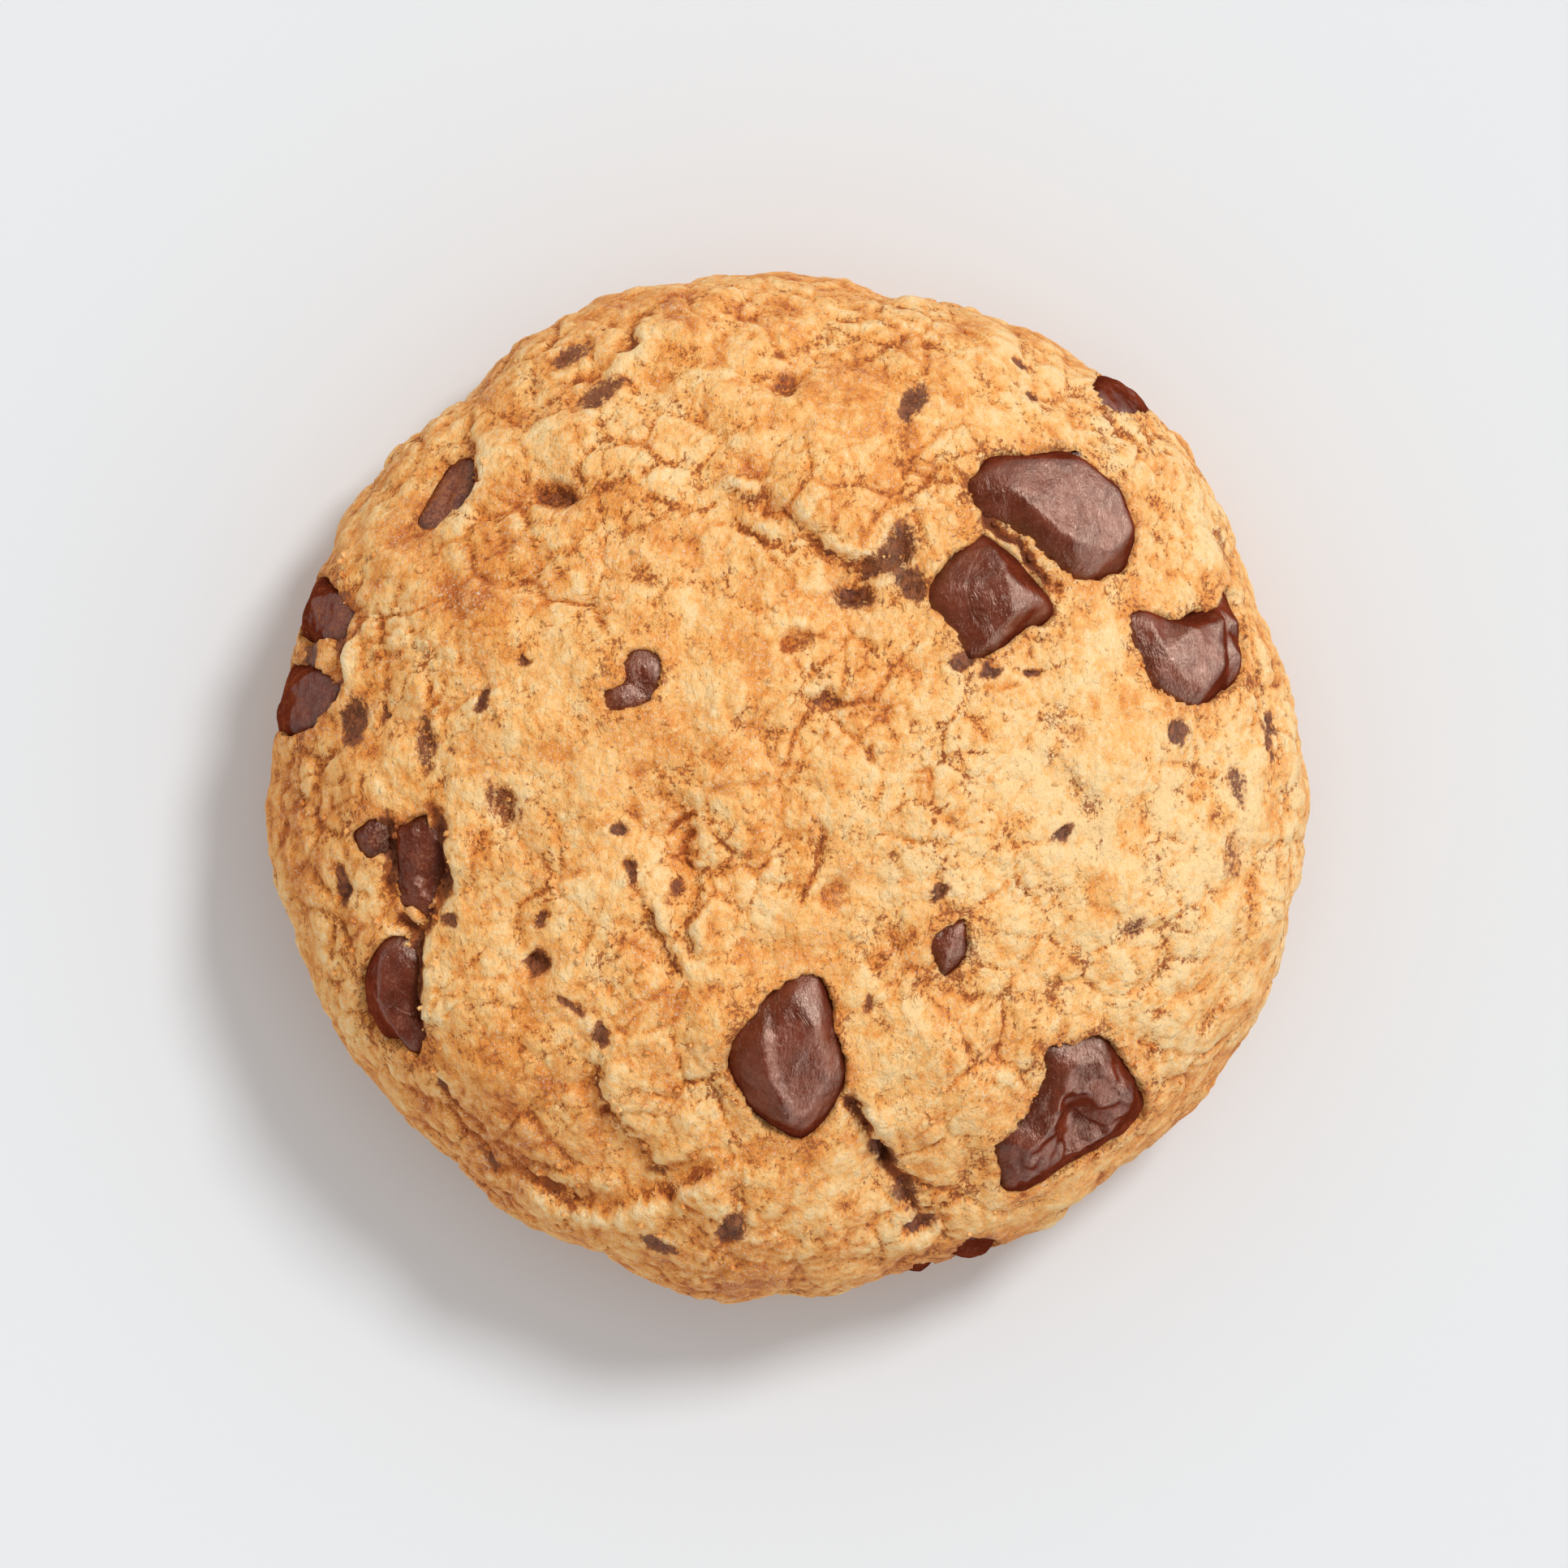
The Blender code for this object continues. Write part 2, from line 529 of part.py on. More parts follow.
def make_fleck(name, x, y, length, width, degrees):
    """One flat chocolate fleck, half sunk in the dough."""
    turn, travel = above(x, y)
    normal = Vector(outward(turn, travel))
    heading = Vector((math.cos(math.radians(degrees)), math.sin(math.radians(degrees)), 0))
    long_way = (heading - normal * heading.dot(normal)).normalized()
    short_way = normal.cross(long_way)
    (centre,), _ = raised([(x, y)], False)
    mesh = bpy.data.meshes.new(name)
    shape = bmesh.new()
    bmesh.ops.create_icosphere(shape, subdivisions=1, radius=0.5)
    for corner in shape.verts:
        across, up, over = corner.co
        offset = long_way * across * length + short_way * up * width + normal * over * FLECK_THICKNESS
        corner.co = (Vector(centre) + offset) * MM
    shape.to_mesh(mesh)
    shape.free()
    item = bpy.data.objects.new(name, mesh)
    bpy.context.scene.collection.objects.link(item)
    return item


def combine(target, operation, tools):
    """Join the tools to an object or cut them from it in one operation, and remove them."""
    group = bpy.data.collections.new("tools")
    bpy.context.scene.collection.children.link(group)
    for tool in tools:
        group.objects.link(tool)
    step = target.modifiers.new(operation.lower(), "BOOLEAN")
    step.operation = operation
    step.solver = "EXACT"
    step.operand_type = "COLLECTION"
    step.collection = group
    graph = bpy.context.evaluated_depsgraph_get()
    result = bpy.data.meshes.new_from_object(target.evaluated_get(graph))
    target.modifiers.clear()
    target.data = result
    for tool in tools:
        bpy.data.objects.remove(tool, do_unlink=True)
    bpy.data.collections.remove(group)


def make_dough(material):
    """The dough, with flecks fused on and a pocket for each chip."""
    turn, travel, faces = skin_grid()
    points = form(turn, travel)
    normals = outward(turn, travel)
    skin = points + normals * relief(points, normals)[:, None]
    dough = new_object("dough", skin, faces, material)
    flecks = [make_fleck(f"fleck_{number}", *fleck) for number, fleck in enumerate(FLECKS)]
    combine(dough, "UNION", flecks)
    pockets = [make_pocket(f"pocket_{name}", chip) for name, chip in CHIPS.items()]
    combine(dough, "DIFFERENCE", pockets)
    return dough


def make_cookie():
    """The whole cookie, its pieces parented to an empty at the origin."""
    clear_scene()
    cookie = bpy.data.objects.new("cookie", None)
    bpy.context.scene.collection.objects.link(cookie)
    pieces = [make_dough(make_material("baked_dough", DOUGH_LOOK))]
    chocolate = make_material("chocolate", CHIP_LOOK)
    pieces += [make_chip(name, chip, chocolate) for name, chip in CHIPS.items()]
    for piece in pieces:
        piece.parent = cookie
        piece.data.shade_smooth()
        piece.data.set_sharp_from_angle(angle=math.radians(40))


make_cookie()
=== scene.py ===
"""The look of a New York style chocolate chip cookie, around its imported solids.

Sizes are in millimetres in the tables and in metres in the meshes. The frame is the solids' own:
the origin is under the middle of the flat base, +Z is up and +Y points to the far edge. A spot on
the cookie is (x, y) seen from straight above, or (degrees round from +X, height) on the side.
"""
import math

import bmesh
import bpy
import numpy as np
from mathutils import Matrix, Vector, noise
from mathutils.geometry import delaunay_2d_cdt


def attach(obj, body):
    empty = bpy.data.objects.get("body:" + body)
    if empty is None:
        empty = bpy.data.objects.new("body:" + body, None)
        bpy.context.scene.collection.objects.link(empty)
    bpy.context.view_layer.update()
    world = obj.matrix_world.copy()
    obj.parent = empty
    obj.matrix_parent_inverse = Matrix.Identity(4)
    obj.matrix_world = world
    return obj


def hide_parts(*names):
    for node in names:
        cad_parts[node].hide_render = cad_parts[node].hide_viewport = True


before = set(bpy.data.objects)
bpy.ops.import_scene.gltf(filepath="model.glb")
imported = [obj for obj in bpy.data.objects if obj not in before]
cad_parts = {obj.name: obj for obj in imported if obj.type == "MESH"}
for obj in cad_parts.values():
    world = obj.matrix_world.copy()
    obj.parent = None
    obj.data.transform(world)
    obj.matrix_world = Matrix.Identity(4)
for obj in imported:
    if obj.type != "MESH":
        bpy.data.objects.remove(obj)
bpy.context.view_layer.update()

MM = 0.001

# Overall form. The radii of the widest outline stand every 10 degrees, starting at +X.
RIM_RADII = (
    45.1, 44.3, 43.7, 44.1, 45.5, 44.7, 44.6, 43.5, 43.4,
    44.2, 44.4, 44.4, 44.3, 43.6, 44.1, 44.4, 44.1, 43.7,
    44.6, 44.9, 44.1, 43.9, 43.9, 43.5, 44.1, 44.0, 45.1,
    44.3, 43.4, 43.3, 44.2, 43.9, 44.8, 45.3, 45.5, 45.4,
)
TOP_HEIGHT = 35.0
WAIST_HEIGHT = 12.0
BASE_SHARE = 0.84
DOME_FULLNESS = 2.3
MEAN_RADIUS = sum(RIM_RADII) / len(RIM_RADII)
PROFILE_STEPS = 400

# Fineness of the dough's skin: cells across the crown, the share of the way down that they
# cover, and rings on the side below them.
CROWN_CELLS = 214
CROWN_SHARE = 0.52
SIDE_RINGS = 58

# Lumps and hollows: x, y, radius, rise.
LUMPS = (
    (3.6, 25.6, 8.5, 1.5),
    (14.1, -25.5, 7, 1.5),
    (-23, -24.5, 8, 1.7),
    (-10.4, -19, 6.5, 1.1),
    (1.5, -35.3, 7, 0.9),
    (-23, 11.6, 9, 1.1),
    (12.7, -2.4, 10, 1),
    (-15.5, 27, 8, 1),
    (-9.5, 40, 6, 0.7),
    (33, -13, 8, 0.7),
    (15, 37, 7, 0.6),
    (30, 2.5, 6.5, 0.8),
    (-5.5, 7, 9, 0.6),
    (-8.5, -4.5, 5, -1.1),
    (-3.5, 20.5, 5, -0.9),
    (5, 16.5, 5, -1),
    (-31, -8, 5.5, -1),
    (-29.5, 25.5, 5, -1.3),
    (9, -33.5, 4.5, -1.2),
    (35, -27, 5.5, -0.7),
)

# Ledges and creases. The dough stands proud by `rise` on the left of the path's direction,
# within `reach` of it, and is sunk by `drop` on the right of it.
LEDGES = (
    dict(rise=1.2, drop=1.0, reach=5.0,
         path=((-27.0, 31.6), (-26.9, 28.5), (-26.5, 26.0), (-29.0, 24.0), (-31.5, 21.8))),
    dict(rise=1.0, drop=1.1, reach=4.0,
         path=((-38.7, 19.0), (-38.0, 15.5), (-35.6, 14.8), (-37.5, 12.0), (-38.2, 8.8), (-39.8, 6.0))),
    dict(rise=1.0, drop=1.0, reach=4.5,
         path=((-31.0, -2.6), (-29.8, -5.5), (-30.0, -8.0), (-31.2, -12.5))),
    dict(rise=1.0, drop=1.0, reach=4.5,
         path=((-33.2, -11.2), (-31.4, -15.3), (-31.2, -20.2), (-30.1, -21.2))),
    dict(rise=0.9, drop=1.1, reach=4.5,
         path=((-9.7, 1.0), (-7.9, -3.0), (-7.2, -8.5), (-7.8, -13.0), (-7.2, -15.4))),
    dict(rise=1.1, drop=0.8, reach=5.0, path=((-11.8, -9.4), (-8.3, -16.4), (-7.9, -19.0), (-8.6, -22.7))),
    dict(rise=0.8, drop=0.9, reach=4.0,
         path=((-15.9, -22.7), (-15.5, -26.2), (-14.2, -29.0), (-10.4, -33.9))),
    dict(rise=1.0, drop=0.9, reach=5.0,
         path=((-5.5, -33.0), (-13.0, -36.3), (-16.0, -36.7), (-19.0, -36.0), (-22.5, -33.5),
               (-26.0, -33.0))),
    dict(rise=0.9, drop=1.2, reach=3.5, path=((5.7, -27.6), (7.1, -29.3), (8.9, -32.5), (10.6, -33.9))),
    dict(rise=0.6, drop=0.9, reach=4.5,
         path=((-6.2, 25.3), (-1.0, 24.3), (2.2, 21.4), (5.0, 19.3), (9.2, 19.3), (11.0, 22.0))),
    dict(rise=0.7, drop=0.7, reach=3.5, path=((-0.6, 29.5), (-0.2, 28.1), (-2.0, 26.0), (-6.2, 25.3))),
    dict(rise=0.7, drop=0.8, reach=4.0, path=((23.9, 1.8), (26.0, -1.7), (26.8, -5.2), (30.2, -5.5))),
    dict(rise=0.6, drop=0.6, reach=3.5, path=((-4.8, 3.9), (-2.3, 8.1))),
    dict(rise=0.7, drop=0.7, reach=4.0, path=((-12.5, 39.6), (-12.8, 37.5), (-14.9, 35.8))),
)
LEDGE_EDGE = 0.55
LEDGE_GULLY = 2.0
LEDGE_FADE = 3.0

# A ledge grows and shrinks along its path: the wavelength, the mean, the swing and the limits.
LEDGE_WAVE = 7.0
LEDGE_MEAN = 0.8
LEDGE_SWING = 1.2
LEDGE_LIMITS = (0.3, 1.2)

# What lies on the dough is pushed about by these wavelengths and distances, which makes its edges
# ragged.
RAGGED_PUSHES = ((2.6, 0.65), (0.9, 0.35))
RAGGED_SEED = 5

# Pits: x, y, length, width, degrees of the long way from +X, depth.
PITS = (
    (-30, 25.5, 6, 3.4, 55, 1.6),
    (5.8, 16.8, 3.6, 2.8, 0, 1.8),
    (9.6, 20.6, 3, 2.4, 60, 0.9),
    (0.8, 12, 3, 1.8, 20, 0.9),
    (3.3, 7.2, 2.8, 1.6, -20, 0.7),
    (-19.6, 24.6, 4, 2.2, -15, 0.9),
    (0.3, 34.3, 3.2, 2.2, 40, 0.9),
    (11.5, -38.2, 3, 1.8, 10, 1.2),
    (-24, -1.8, 3, 2, 60, 0.8),
    (-20.8, -15.2, 2.6, 1.8, 60, 0.8),
    (4.3, -9.6, 3, 2.2, 60, 0.7),
)

# Grain of the dough: wavelength and height of its waves, broad ones first. The waves fade out
# below a height of `BASE_CALM`.
GRAIN = ((13.0, 0.7), (6.0, 0.6), (3.2, 0.35))
FINE_GRAIN = ((1.5, 0.16), (0.8, 0.09))
BASE_CALM = 5.0

# Crags: size and height of their rounded lumps, with creases between them that come and go.
CRAGS = ((5.2, 0.42), (2.5, 0.22))
CRAG_LEVEL = 0.6
CRAG_PUSH = 0.3
CREASE_WIDTH = 0.09
CREASE_DEPTH = 0.8
CREASE_PATCHES = 9.0
CREASE_SHARE = 0.6
# CREASE_SHADE is how dark the painted shade in a crease is.
CREASE_SHADE = 0.6

# The side is browner below this height.
LOW_HEIGHT = 24.0

# Cracks without a ledge: depth, width and path.
CRACKS = (
    (0.5, 0.4, ((-2.7, 24.2), (-0.9, 22.8))),
    (0.6, 0.45, ((-4.1, 22.1), (-0.9, 20.7), (0.5, 19.7))),
    (0.5, 0.4, ((-11.1, 24.4), (-8.3, 23.2), (-5.8, 23.5))),
    (0.3, 0.3, ((35.8, -20.9), (37.9, -18.5), (39.3, -17.4))),
    (0.4, 0.4, ((2.9, -3.4), (3.1, -5.5), (1.5, -9.4))),
    (0.3, 0.3, ((19.7, -12.5), (23.9, -13.9))),
    (0.4, 0.4, ((12.7, -16.0), (11.0, -17.4))),
    (0.5, 0.4, ((-15.6, -27.6), (-13.2, -29.7))),
    (0.5, 0.5, ((-29.4, -25.5), (-25.8, -29.7))),
    (1.8, 0.6, ((17.2, 22.6), (19.2, 20.9), (20.9, 19.2), (22.4, 17.4), (23.2, 16.8))),
    (1.8, 0.5, ((5.5, -26.7), (7.0, -28.8), (8.2, -30.8), (8.8, -32.8))),
    (0.9, 0.5, ((8.8, -32.8), (10.3, -35.6), (11.6, -37.6))),
    (1.4, 0.8, ((-34.1, -3.3), (-34.2, -6.2), (-34.3, -9.4))),
    (1.6, 0.8, ((-33.2, -11.4), (-31.8, -13.4), (-31.0, -16.4), (-31.0, -20.2))),
    (1.4, 0.8, ((-30.1, -2.6), (-29.5, -6.0), (-30.1, -10.4), (-30.9, -12.2))),
)
# How dark the painted shade along a crack is, more for a deeper one, and the width of the painted shade at
# the foot of a ledge.
CRACK_SHADE = 0.6
CRACK_SHADE_BY_DEPTH = 0.5
FOOT_WIDTH = 0.35

# Chocolate in the dough's skin: x, y, length, width, degrees of the long way from +X, and how
# much of it covers the dough, from 0 to 1. The long thin ones at x -34.2, -29.7 and -31.5, beside
# the left chips, are painted shadow in the gaps there.
FLECKS = (
    (-36.9, 5.3, 4.2, 2.8, 80, 0.95),
    (-34.5, 5.9, 2.4, 1, 100, 0.9),
    (-40.9, 11.6, 4.6, 2.6, 100, 0.95),
    (-37.8, 15.4, 3.6, 2.6, 110, 0.6),
    (-38.3, 12.4, 2.6, 2, 100, 0.8),
    (-38.2, -9, 4.6, 1.6, 75, 1),
    (-34.2, -5.5, 6.4, 1.6, 92, 1),
    (-29.7, -6.2, 7.4, 1.4, 88, 0.9),
    (-31.5, -16.6, 9, 1.5, 80, 0.95),
    (-30.8, 3.6, 4.8, 2.2, 100, 0.75),
    (-28.4, 2.7, 1.1, 1, 0, 0.8),
    (-25.6, 7, 2.3, 1.4, 60, 0.95),
    (-22.1, 10.4, 1.1, 0.9, 0, 0.9),
    (-24, -1.7, 4.4, 2.2, 120, 0.7),
    (-28.7, -11.8, 1.9, 1.1, 20, 0.9),
    (-21.2, -11.6, 1.8, 1.3, 60, 0.85),
    (-20.9, -15.1, 2.5, 1.8, 60, 1),
    (-14.1, -3.9, 1.2, 1, 0, 0.95),
    (-13, -7.3, 2.1, 1, 90, 0.9),
    (-9.3, -8.8, 2.4, 1.3, 70, 0.75),
    (-18.1, -18.5, 2.9, 1, -30, 0.8),
    (-15.6, -21.1, 2.4, 1.3, 80, 0.9),
    (-29.1, -25.6, 1.8, 1, 100, 0.9),
    (-25.4, -32.1, 3.5, 0.8, 100, 0.8),
    (-11, -33.3, 2.8, 1.7, -20, 0.7),
    (-10.7, -39.4, 3.6, 1.8, -15, 0.9),
    (-4.7, -37.8, 4.2, 2.2, 65, 0.9),
    (11.5, -38.2, 3.2, 1.7, 10, 0.9),
    (8.6, -32, 4.2, 2.3, 115, 0.85),
    (10.5, -35.5, 4, 2.5, 110, 0.8),
    (4.3, -9.7, 3.5, 2.1, 100, 0.5),
    (7, -18.5, 2.1, 1, 100, 0.75),
    (12.9, -9, 1.7, 1.2, 30, 0.9),
    (7.3, 2.7, 1.7, 1, 100, 0.65),
    (3.3, 7.3, 3.4, 1.7, -10, 0.7),
    (1, 12, 3.8, 2, 0, 0.55),
    (29.4, -12.2, 2.6, 1.6, 60, 0.75),
    (23.6, -4.5, 1.9, 1.2, 50, 1),
    (38.6, 0.1, 4.4, 1.4, 100, 0.8),
    (38.3, -6.2, 4.4, 2.6, 80, 0.65),
    (41.2, 3.4, 4.4, 1, 100, 0.85),
    (41.8, 5.2, 2.4, 1.4, 100, 1),
    (24.3, 4.1, 2.4, 1.8, 0, 0.55),
    (21.2, 9.5, 1.4, 1, 0, 0.95),
    (33.2, 4.4, 2.4, 2.2, 100, 1),
    (15, 10.6, 2.6, 1.3, 0, 1),
    (17.3, 9.8, 1.6, 1.4, 0, 1),
    (10.8, 17.2, 3.4, 2.4, 110, 0.95),
    (7.8, 18.8, 3.4, 2, 20, 0.85),
    (6, 16.3, 3.9, 2.1, -5, 1),
    (9.8, 20.4, 4.6, 3, 65, 0.85),
    (10.8, 32.1, 4.2, 2, 70, 0.9),
    (21, 33.5, 1.9, 1.5, 45, 1),
    (20.3, 36.3, 1.6, 1.1, 20, 0.85),
    (0.3, 34.3, 3.4, 2.4, 100, 0.65),
    (-15.8, 33.4, 5.6, 2.4, 35, 0.8),
    (-31, 24, 5.4, 3.8, 55, 0.6),
    (-18.4, 36.8, 4, 2.4, 35, 0.8),
    (-19.6, 24.6, 4, 2.2, -15, 0.75),
)

# A fleck fades out from its middle, and is sunk by `FLECK_DENT`.
FLECK_FULL = 1.6
FLECK_FADE = 0.9
FLECK_DENT = 0.35

# Toasted and pale patches: x, y, radius, strength. Some are the dough's own toasting; the broad ones along
# the left and lower edge are painted shade, and the pale ones on the right side are painted light.
PATCHES = (
    (3.6, 34, 3.5, 1), (8.6, 27, 4.5, 1), (-23, 18.6, 6, 1), (-27.2, 15.8, 4, 1),
    (-13.9, 24.2, 4, 1), (-11.8, 41, 4, 1), (-9, 38.9, 3, 1), (-23, -26.6, 7, 1),
    (28, 4.2, 4, 0.6), (9, 34, 4, 1), (-11, -19.5, 4, 1),
    (-40, 0, 11, 1), (-26, -33, 11, 1.1), (-4, -42, 10, 1.2), (-37, 20, 8, 0.7), (12, -42, 8, 0.9),
    (-24, 36, 9, 0.6), (0, 42, 9, 0.6), (-2, 2, 12, 0.5), (25, 2, 12, -0.9), (34, -14, 12, -0.5),
    (36, 22, 10, -0.7), (43, -4, 9, -1), (9, -8, 8, -0.5), (17, -20, 8, 0.1), (28, 33, 8, -0.6),
    (-18, -2, 9, -0.4),
)

# Chocolate chips. `corners` go round a chip where it leaves the dough. `tops` are the corners
# of its facets, (x, y, rise) or (degrees, height, rise), and `depth` is how far it reaches into
# the dough.
CHIPS = dict(
    chip_upper_right=dict(
        corners=((15.5, 25.8), (17.3, 28.1), (20.4, 28.4), (23.9, 28.8), (26.8, 27.2), (29.2, 24.6),
                 (30.2, 21.1), (29.2, 18.4), (25.7, 17.1), (22.7, 18.8), (19.3, 21.8), (16.5, 23.2)),
        tops=((17.4, 26.0, 1.3), (18.4, 24.6, 1.8), (20.6, 27.3, 1.5), (24.6, 27.3, 1.7),
              (28.0, 24.6, 1.7), (29.2, 21.3, 1.6), (27.2, 19.2, 1.6), (24.0, 19.9, 2.0),
              (20.6, 22.6, 2.2)),
        depth=5.0),
    chip_cone=dict(
        corners=((16.5, 21.4), (18.4, 20.6), (20.0, 19.2), (21.7, 17.3), (23.0, 15.6), (22.9, 14.2),
                 (20.8, 13.1), (17.8, 10.9), (15.5, 10.6), (13.4, 13.6), (11.9, 16.2), (13.7, 19.2)),
        tops=((17.3, 19.9, 1.7), (18.3, 17.2, 2.9), (18.9, 14.0, 2.5), (21.8, 15.4, 1.4),
              (17.2, 12.2, 1.3), (13.6, 16.4, 0.9)),
        depth=5.0),
    chip_right=dict(
        corners=((29.0, 14.3), (30.3, 15.2), (32.9, 14.3), (35.1, 14.8), (36.7, 15.4), (37.7, 17.2),
                 (38.7, 15.1), (39.3, 12.0), (39.1, 8.8), (37.4, 7.6), (35.1, 6.2), (33.2, 7.0),
                 (31.2, 8.3), (30.4, 10.1), (29.6, 12.2)),
        tops=((30.5, 13.9, 0.9), (31.6, 11.2, 1.3), (33.3, 8.5, 1.3), (33.6, 12.9, 2.0),
              (36.4, 13.8, 2.0), (36.5, 9.8, 2.0), (37.4, 13.4, 0.3), (37.6, 10.2, 0.4),
              (38.4, 13.6, 1.1), (38.5, 10.6, 1.2), (35.0, 7.6, 1.3)),
        depth=4.5),
    chip_lower_middle=dict(
        corners=((1.2, -16.0), (2.8, -16.2), (4.2, -19.5), (5.4, -24.8), (3.8, -28.4), (1.2, -30.4),
                 (-2.7, -28.3), (-4.8, -25.1), (-4.8, -21.3), (-1.6, -17.9)),
        tops=((0.8, -17.6, 1.2), (-1.9, -21.4, 2.2), (-1.5, -24.2, 2.6), (-0.3, -26.6, 2.4),
              (0.2, -28.5, 1.8), (-1.1, -21.2, 1.6), (-0.6, -24.0, 1.9), (0.6, -26.2, 1.8),
              (1.7, -27.6, 1.7), (2.6, -20.0, 1.7), (3.6, -24.6, 1.4), (-3.6, -23.0, 1.3)),
        depth=5.0),
    chip_lower_right=dict(
        corners=((22.2, -22.3), (25.0, -21.6), (27.4, -21.6), (30.1, -24.8), (31.2, -28.3),
                 (29.2, -30.5), (24.4, -33.0), (20.8, -35.3), (18.7, -35.1), (18.0, -30.7),
                 (20.1, -28.3), (21.8, -24.8)),
        tops=((23.5, -23.2, 1.3), (26.6, -23.0, 1.8), (29.3, -25.4, 1.9), (25.8, -25.7, 1.7),
              (23.2, -25.7, 1.5), (22.3, -28.2, 1.6), (24.6, -28.4, -0.4), (27.4, -29.2, 1.5),
              (20.3, -30.4, 1.5), (20.7, -33.2, 1.2), (23.6, -31.4, 1.2)),
        depth=4.5),
    chip_small_middle=dict(
        corners=((12.7, -12.0), (15.5, -11.3), (15.5, -14.6), (13.4, -16.4), (11.9, -13.9)),
        tops=((14.4, -12.5, 0.7), (13.3, -14.4, 0.9)), depth=2.6),
    chip_left_middle=dict(
        corners=((-12.5, 11.8), (-10.5, 10.8), (-10.7, 8.1), (-12.5, 6.0), (-15.4, 6.0),
                 (-15.6, 7.8), (-14.2, 8.5), (-13.9, 10.6)),
        tops=((-12.0, 10.0, 0.2), (-12.3, 8.3, -0.2), (-13.9, 7.1, 0.4)), depth=2.8),
    chip_left_small=dict(
        corners=((-37.2, -4.4), (-36.4, -3.1), (-35.2, -2.7), (-34.5, -3.6), (-34.4, -5.4),
                 (-35.2, -6.4), (-36.5, -6.3)),
        tops=((-35.9, -4.2, 0.7), (-35.4, -5.3, 0.6)), depth=2.6),
    chip_left_melted=dict(
        corners=((-33.7, -3.4), (-32.2, -3.0), (-30.8, -2.8), (-29.7, -5.3), (-29.8, -7.6),
                 (-30.3, -10.0), (-30.8, -11.9), (-32.0, -11.2), (-33.6, -10.6), (-33.9, -7.5)),
        tops=((-32.4, -4.6, 0.6), (-32.0, -7.2, 0.3), (-31.8, -9.8, 0.6)), depth=3.2),
    chip_lower_left=dict(
        corners=((-36.0, -15.0), (-34.8, -13.2), (-33.3, -12.8), (-31.8, -15.2), (-31.6, -17.6),
                 (-31.3, -19.9), (-30.3, -21.2), (-31.2, -23.5), (-32.6, -22.2), (-34.6, -21.9),
                 (-36.1, -19.6), (-36.5, -17.2)),
        tops=((-34.2, -15.0, 1.0), (-34.0, -18.0, 1.4), (-32.6, -21.0, 1.1)), depth=3.6),
    chip_upper_left=dict(
        corners=((-31.2, 25.8), (-29.0, 28.6), (-27.0, 28.4), (-27.4, 25.2), (-29.6, 22.4),
                 (-32.3, 22.6)),
        tops=((-29.8, 24.4, -0.2), (-28.8, 26.6, -0.2)), depth=2.8),
    chip_left_side_upper=dict(
        beside=True,
        corners=((155.5, 14.0), (156.5, 20.0), (160.0, 22.5), (163.0, 20.5), (163.6, 14.0),
                 (160.5, 9.5), (157.0, 10.0)),
        tops=((158.5, 17.0, 0.6), (161.0, 16.0, 0.6)), depth=4.2),
    chip_left_side_lower=dict(
        beside=True,
        corners=((165.6, 12.0), (165.8, 19.5), (168.0, 23.0), (172.0, 21.5), (174.6, 17.5),
                 (175.0, 11.5), (171.0, 8.5), (167.5, 8.8)),
        tops=((168.8, 17.0, 0.7), (171.8, 14.5, 0.7)), depth=4.4),
    chip_rim_upper_right=dict(
        beside=True,
        corners=((45.0, 12.0), (46.0, 16.5), (49.0, 19.5), (52.0, 18.5), (53.2, 13.5),
                 (50.0, 9.5), (46.5, 9.5)),
        tops=((48.0, 14.5, 0.7), (50.5, 14.5, 0.7)), depth=3.6),
    chip_rim_lower_right=dict(
        beside=True,
        corners=((289.0, 12.5), (290.0, 17.0), (292.5, 18.5), (295.0, 16.0), (294.6, 10.5),
                 (291.0, 8.5)),
        tops=((291.0, 13.5, 0.6), (293.0, 13.0, 0.6)), depth=3.0),
    chip_rim_bottom=dict(
        beside=True,
        corners=((283.3, 11.0), (284.5, 15.0), (286.8, 15.2), (287.6, 11.0), (285.5, 8.5)),
        tops=((285.0, 12.0, 0.4), (286.0, 12.0, 0.4)), depth=2.4),
)

# Points round a chip and rings over its top, crowded towards its rim. The rings below the rim are
# (share of the outline, share of the depth).
CHIP_SIDES = 112
CHIP_TOP_RINGS = 34
RING_CROWDING = 1.3
CHIP_LOWER_RINGS = ((0.9, 0.45), (0.55, 1.0))
CURVE_STEPS = 24

# Wrinkles of the chocolate are drawn out along the dough's Y axis, turned by some degrees.
CREASE_STRETCH = 2.0
CREASE_TURN = 20.0
CHIP_GLOSS = 1.5

# Waves and wrinkles of a chip's skin: wavelength and height. The wrinkles are pushed about.
CHIP_WAVES = (2.2, 0.12)
CHIP_WRINKLES = (0.9, 0.06)
WRINKLE_PUSH = (1.2, 0.6)

# The edges between facets are rounded over this distance, and the rim is sunk under the
# dough's ragged edge by `RIM_SINK`, within `RIM_SINK_REACH` of it, less on chips smaller than
# `RIM_SINK_RADIUS`.
FACET_ROUNDING = 0.3
RIM_SINK = 0.9
RIM_SINK_REACH = 0.55
RIM_SINK_RADIUS = 4.0
# RIM_SHADE is the reach of the painted shade that darkens a chip near its rim.
RIM_SHADE = 0.75

# Share of a chip that is dusted with dough.
DUSTED = dict(chip_upper_left=0.62, chip_left_middle=0.42, chip_left_small=0.45, chip_left_melted=0.35,
              chip_lower_left=0.25, chip_left_side_upper=0.45, chip_left_side_lower=0.35,
              chip_small_middle=0.25, chip_lower_right=0.15)

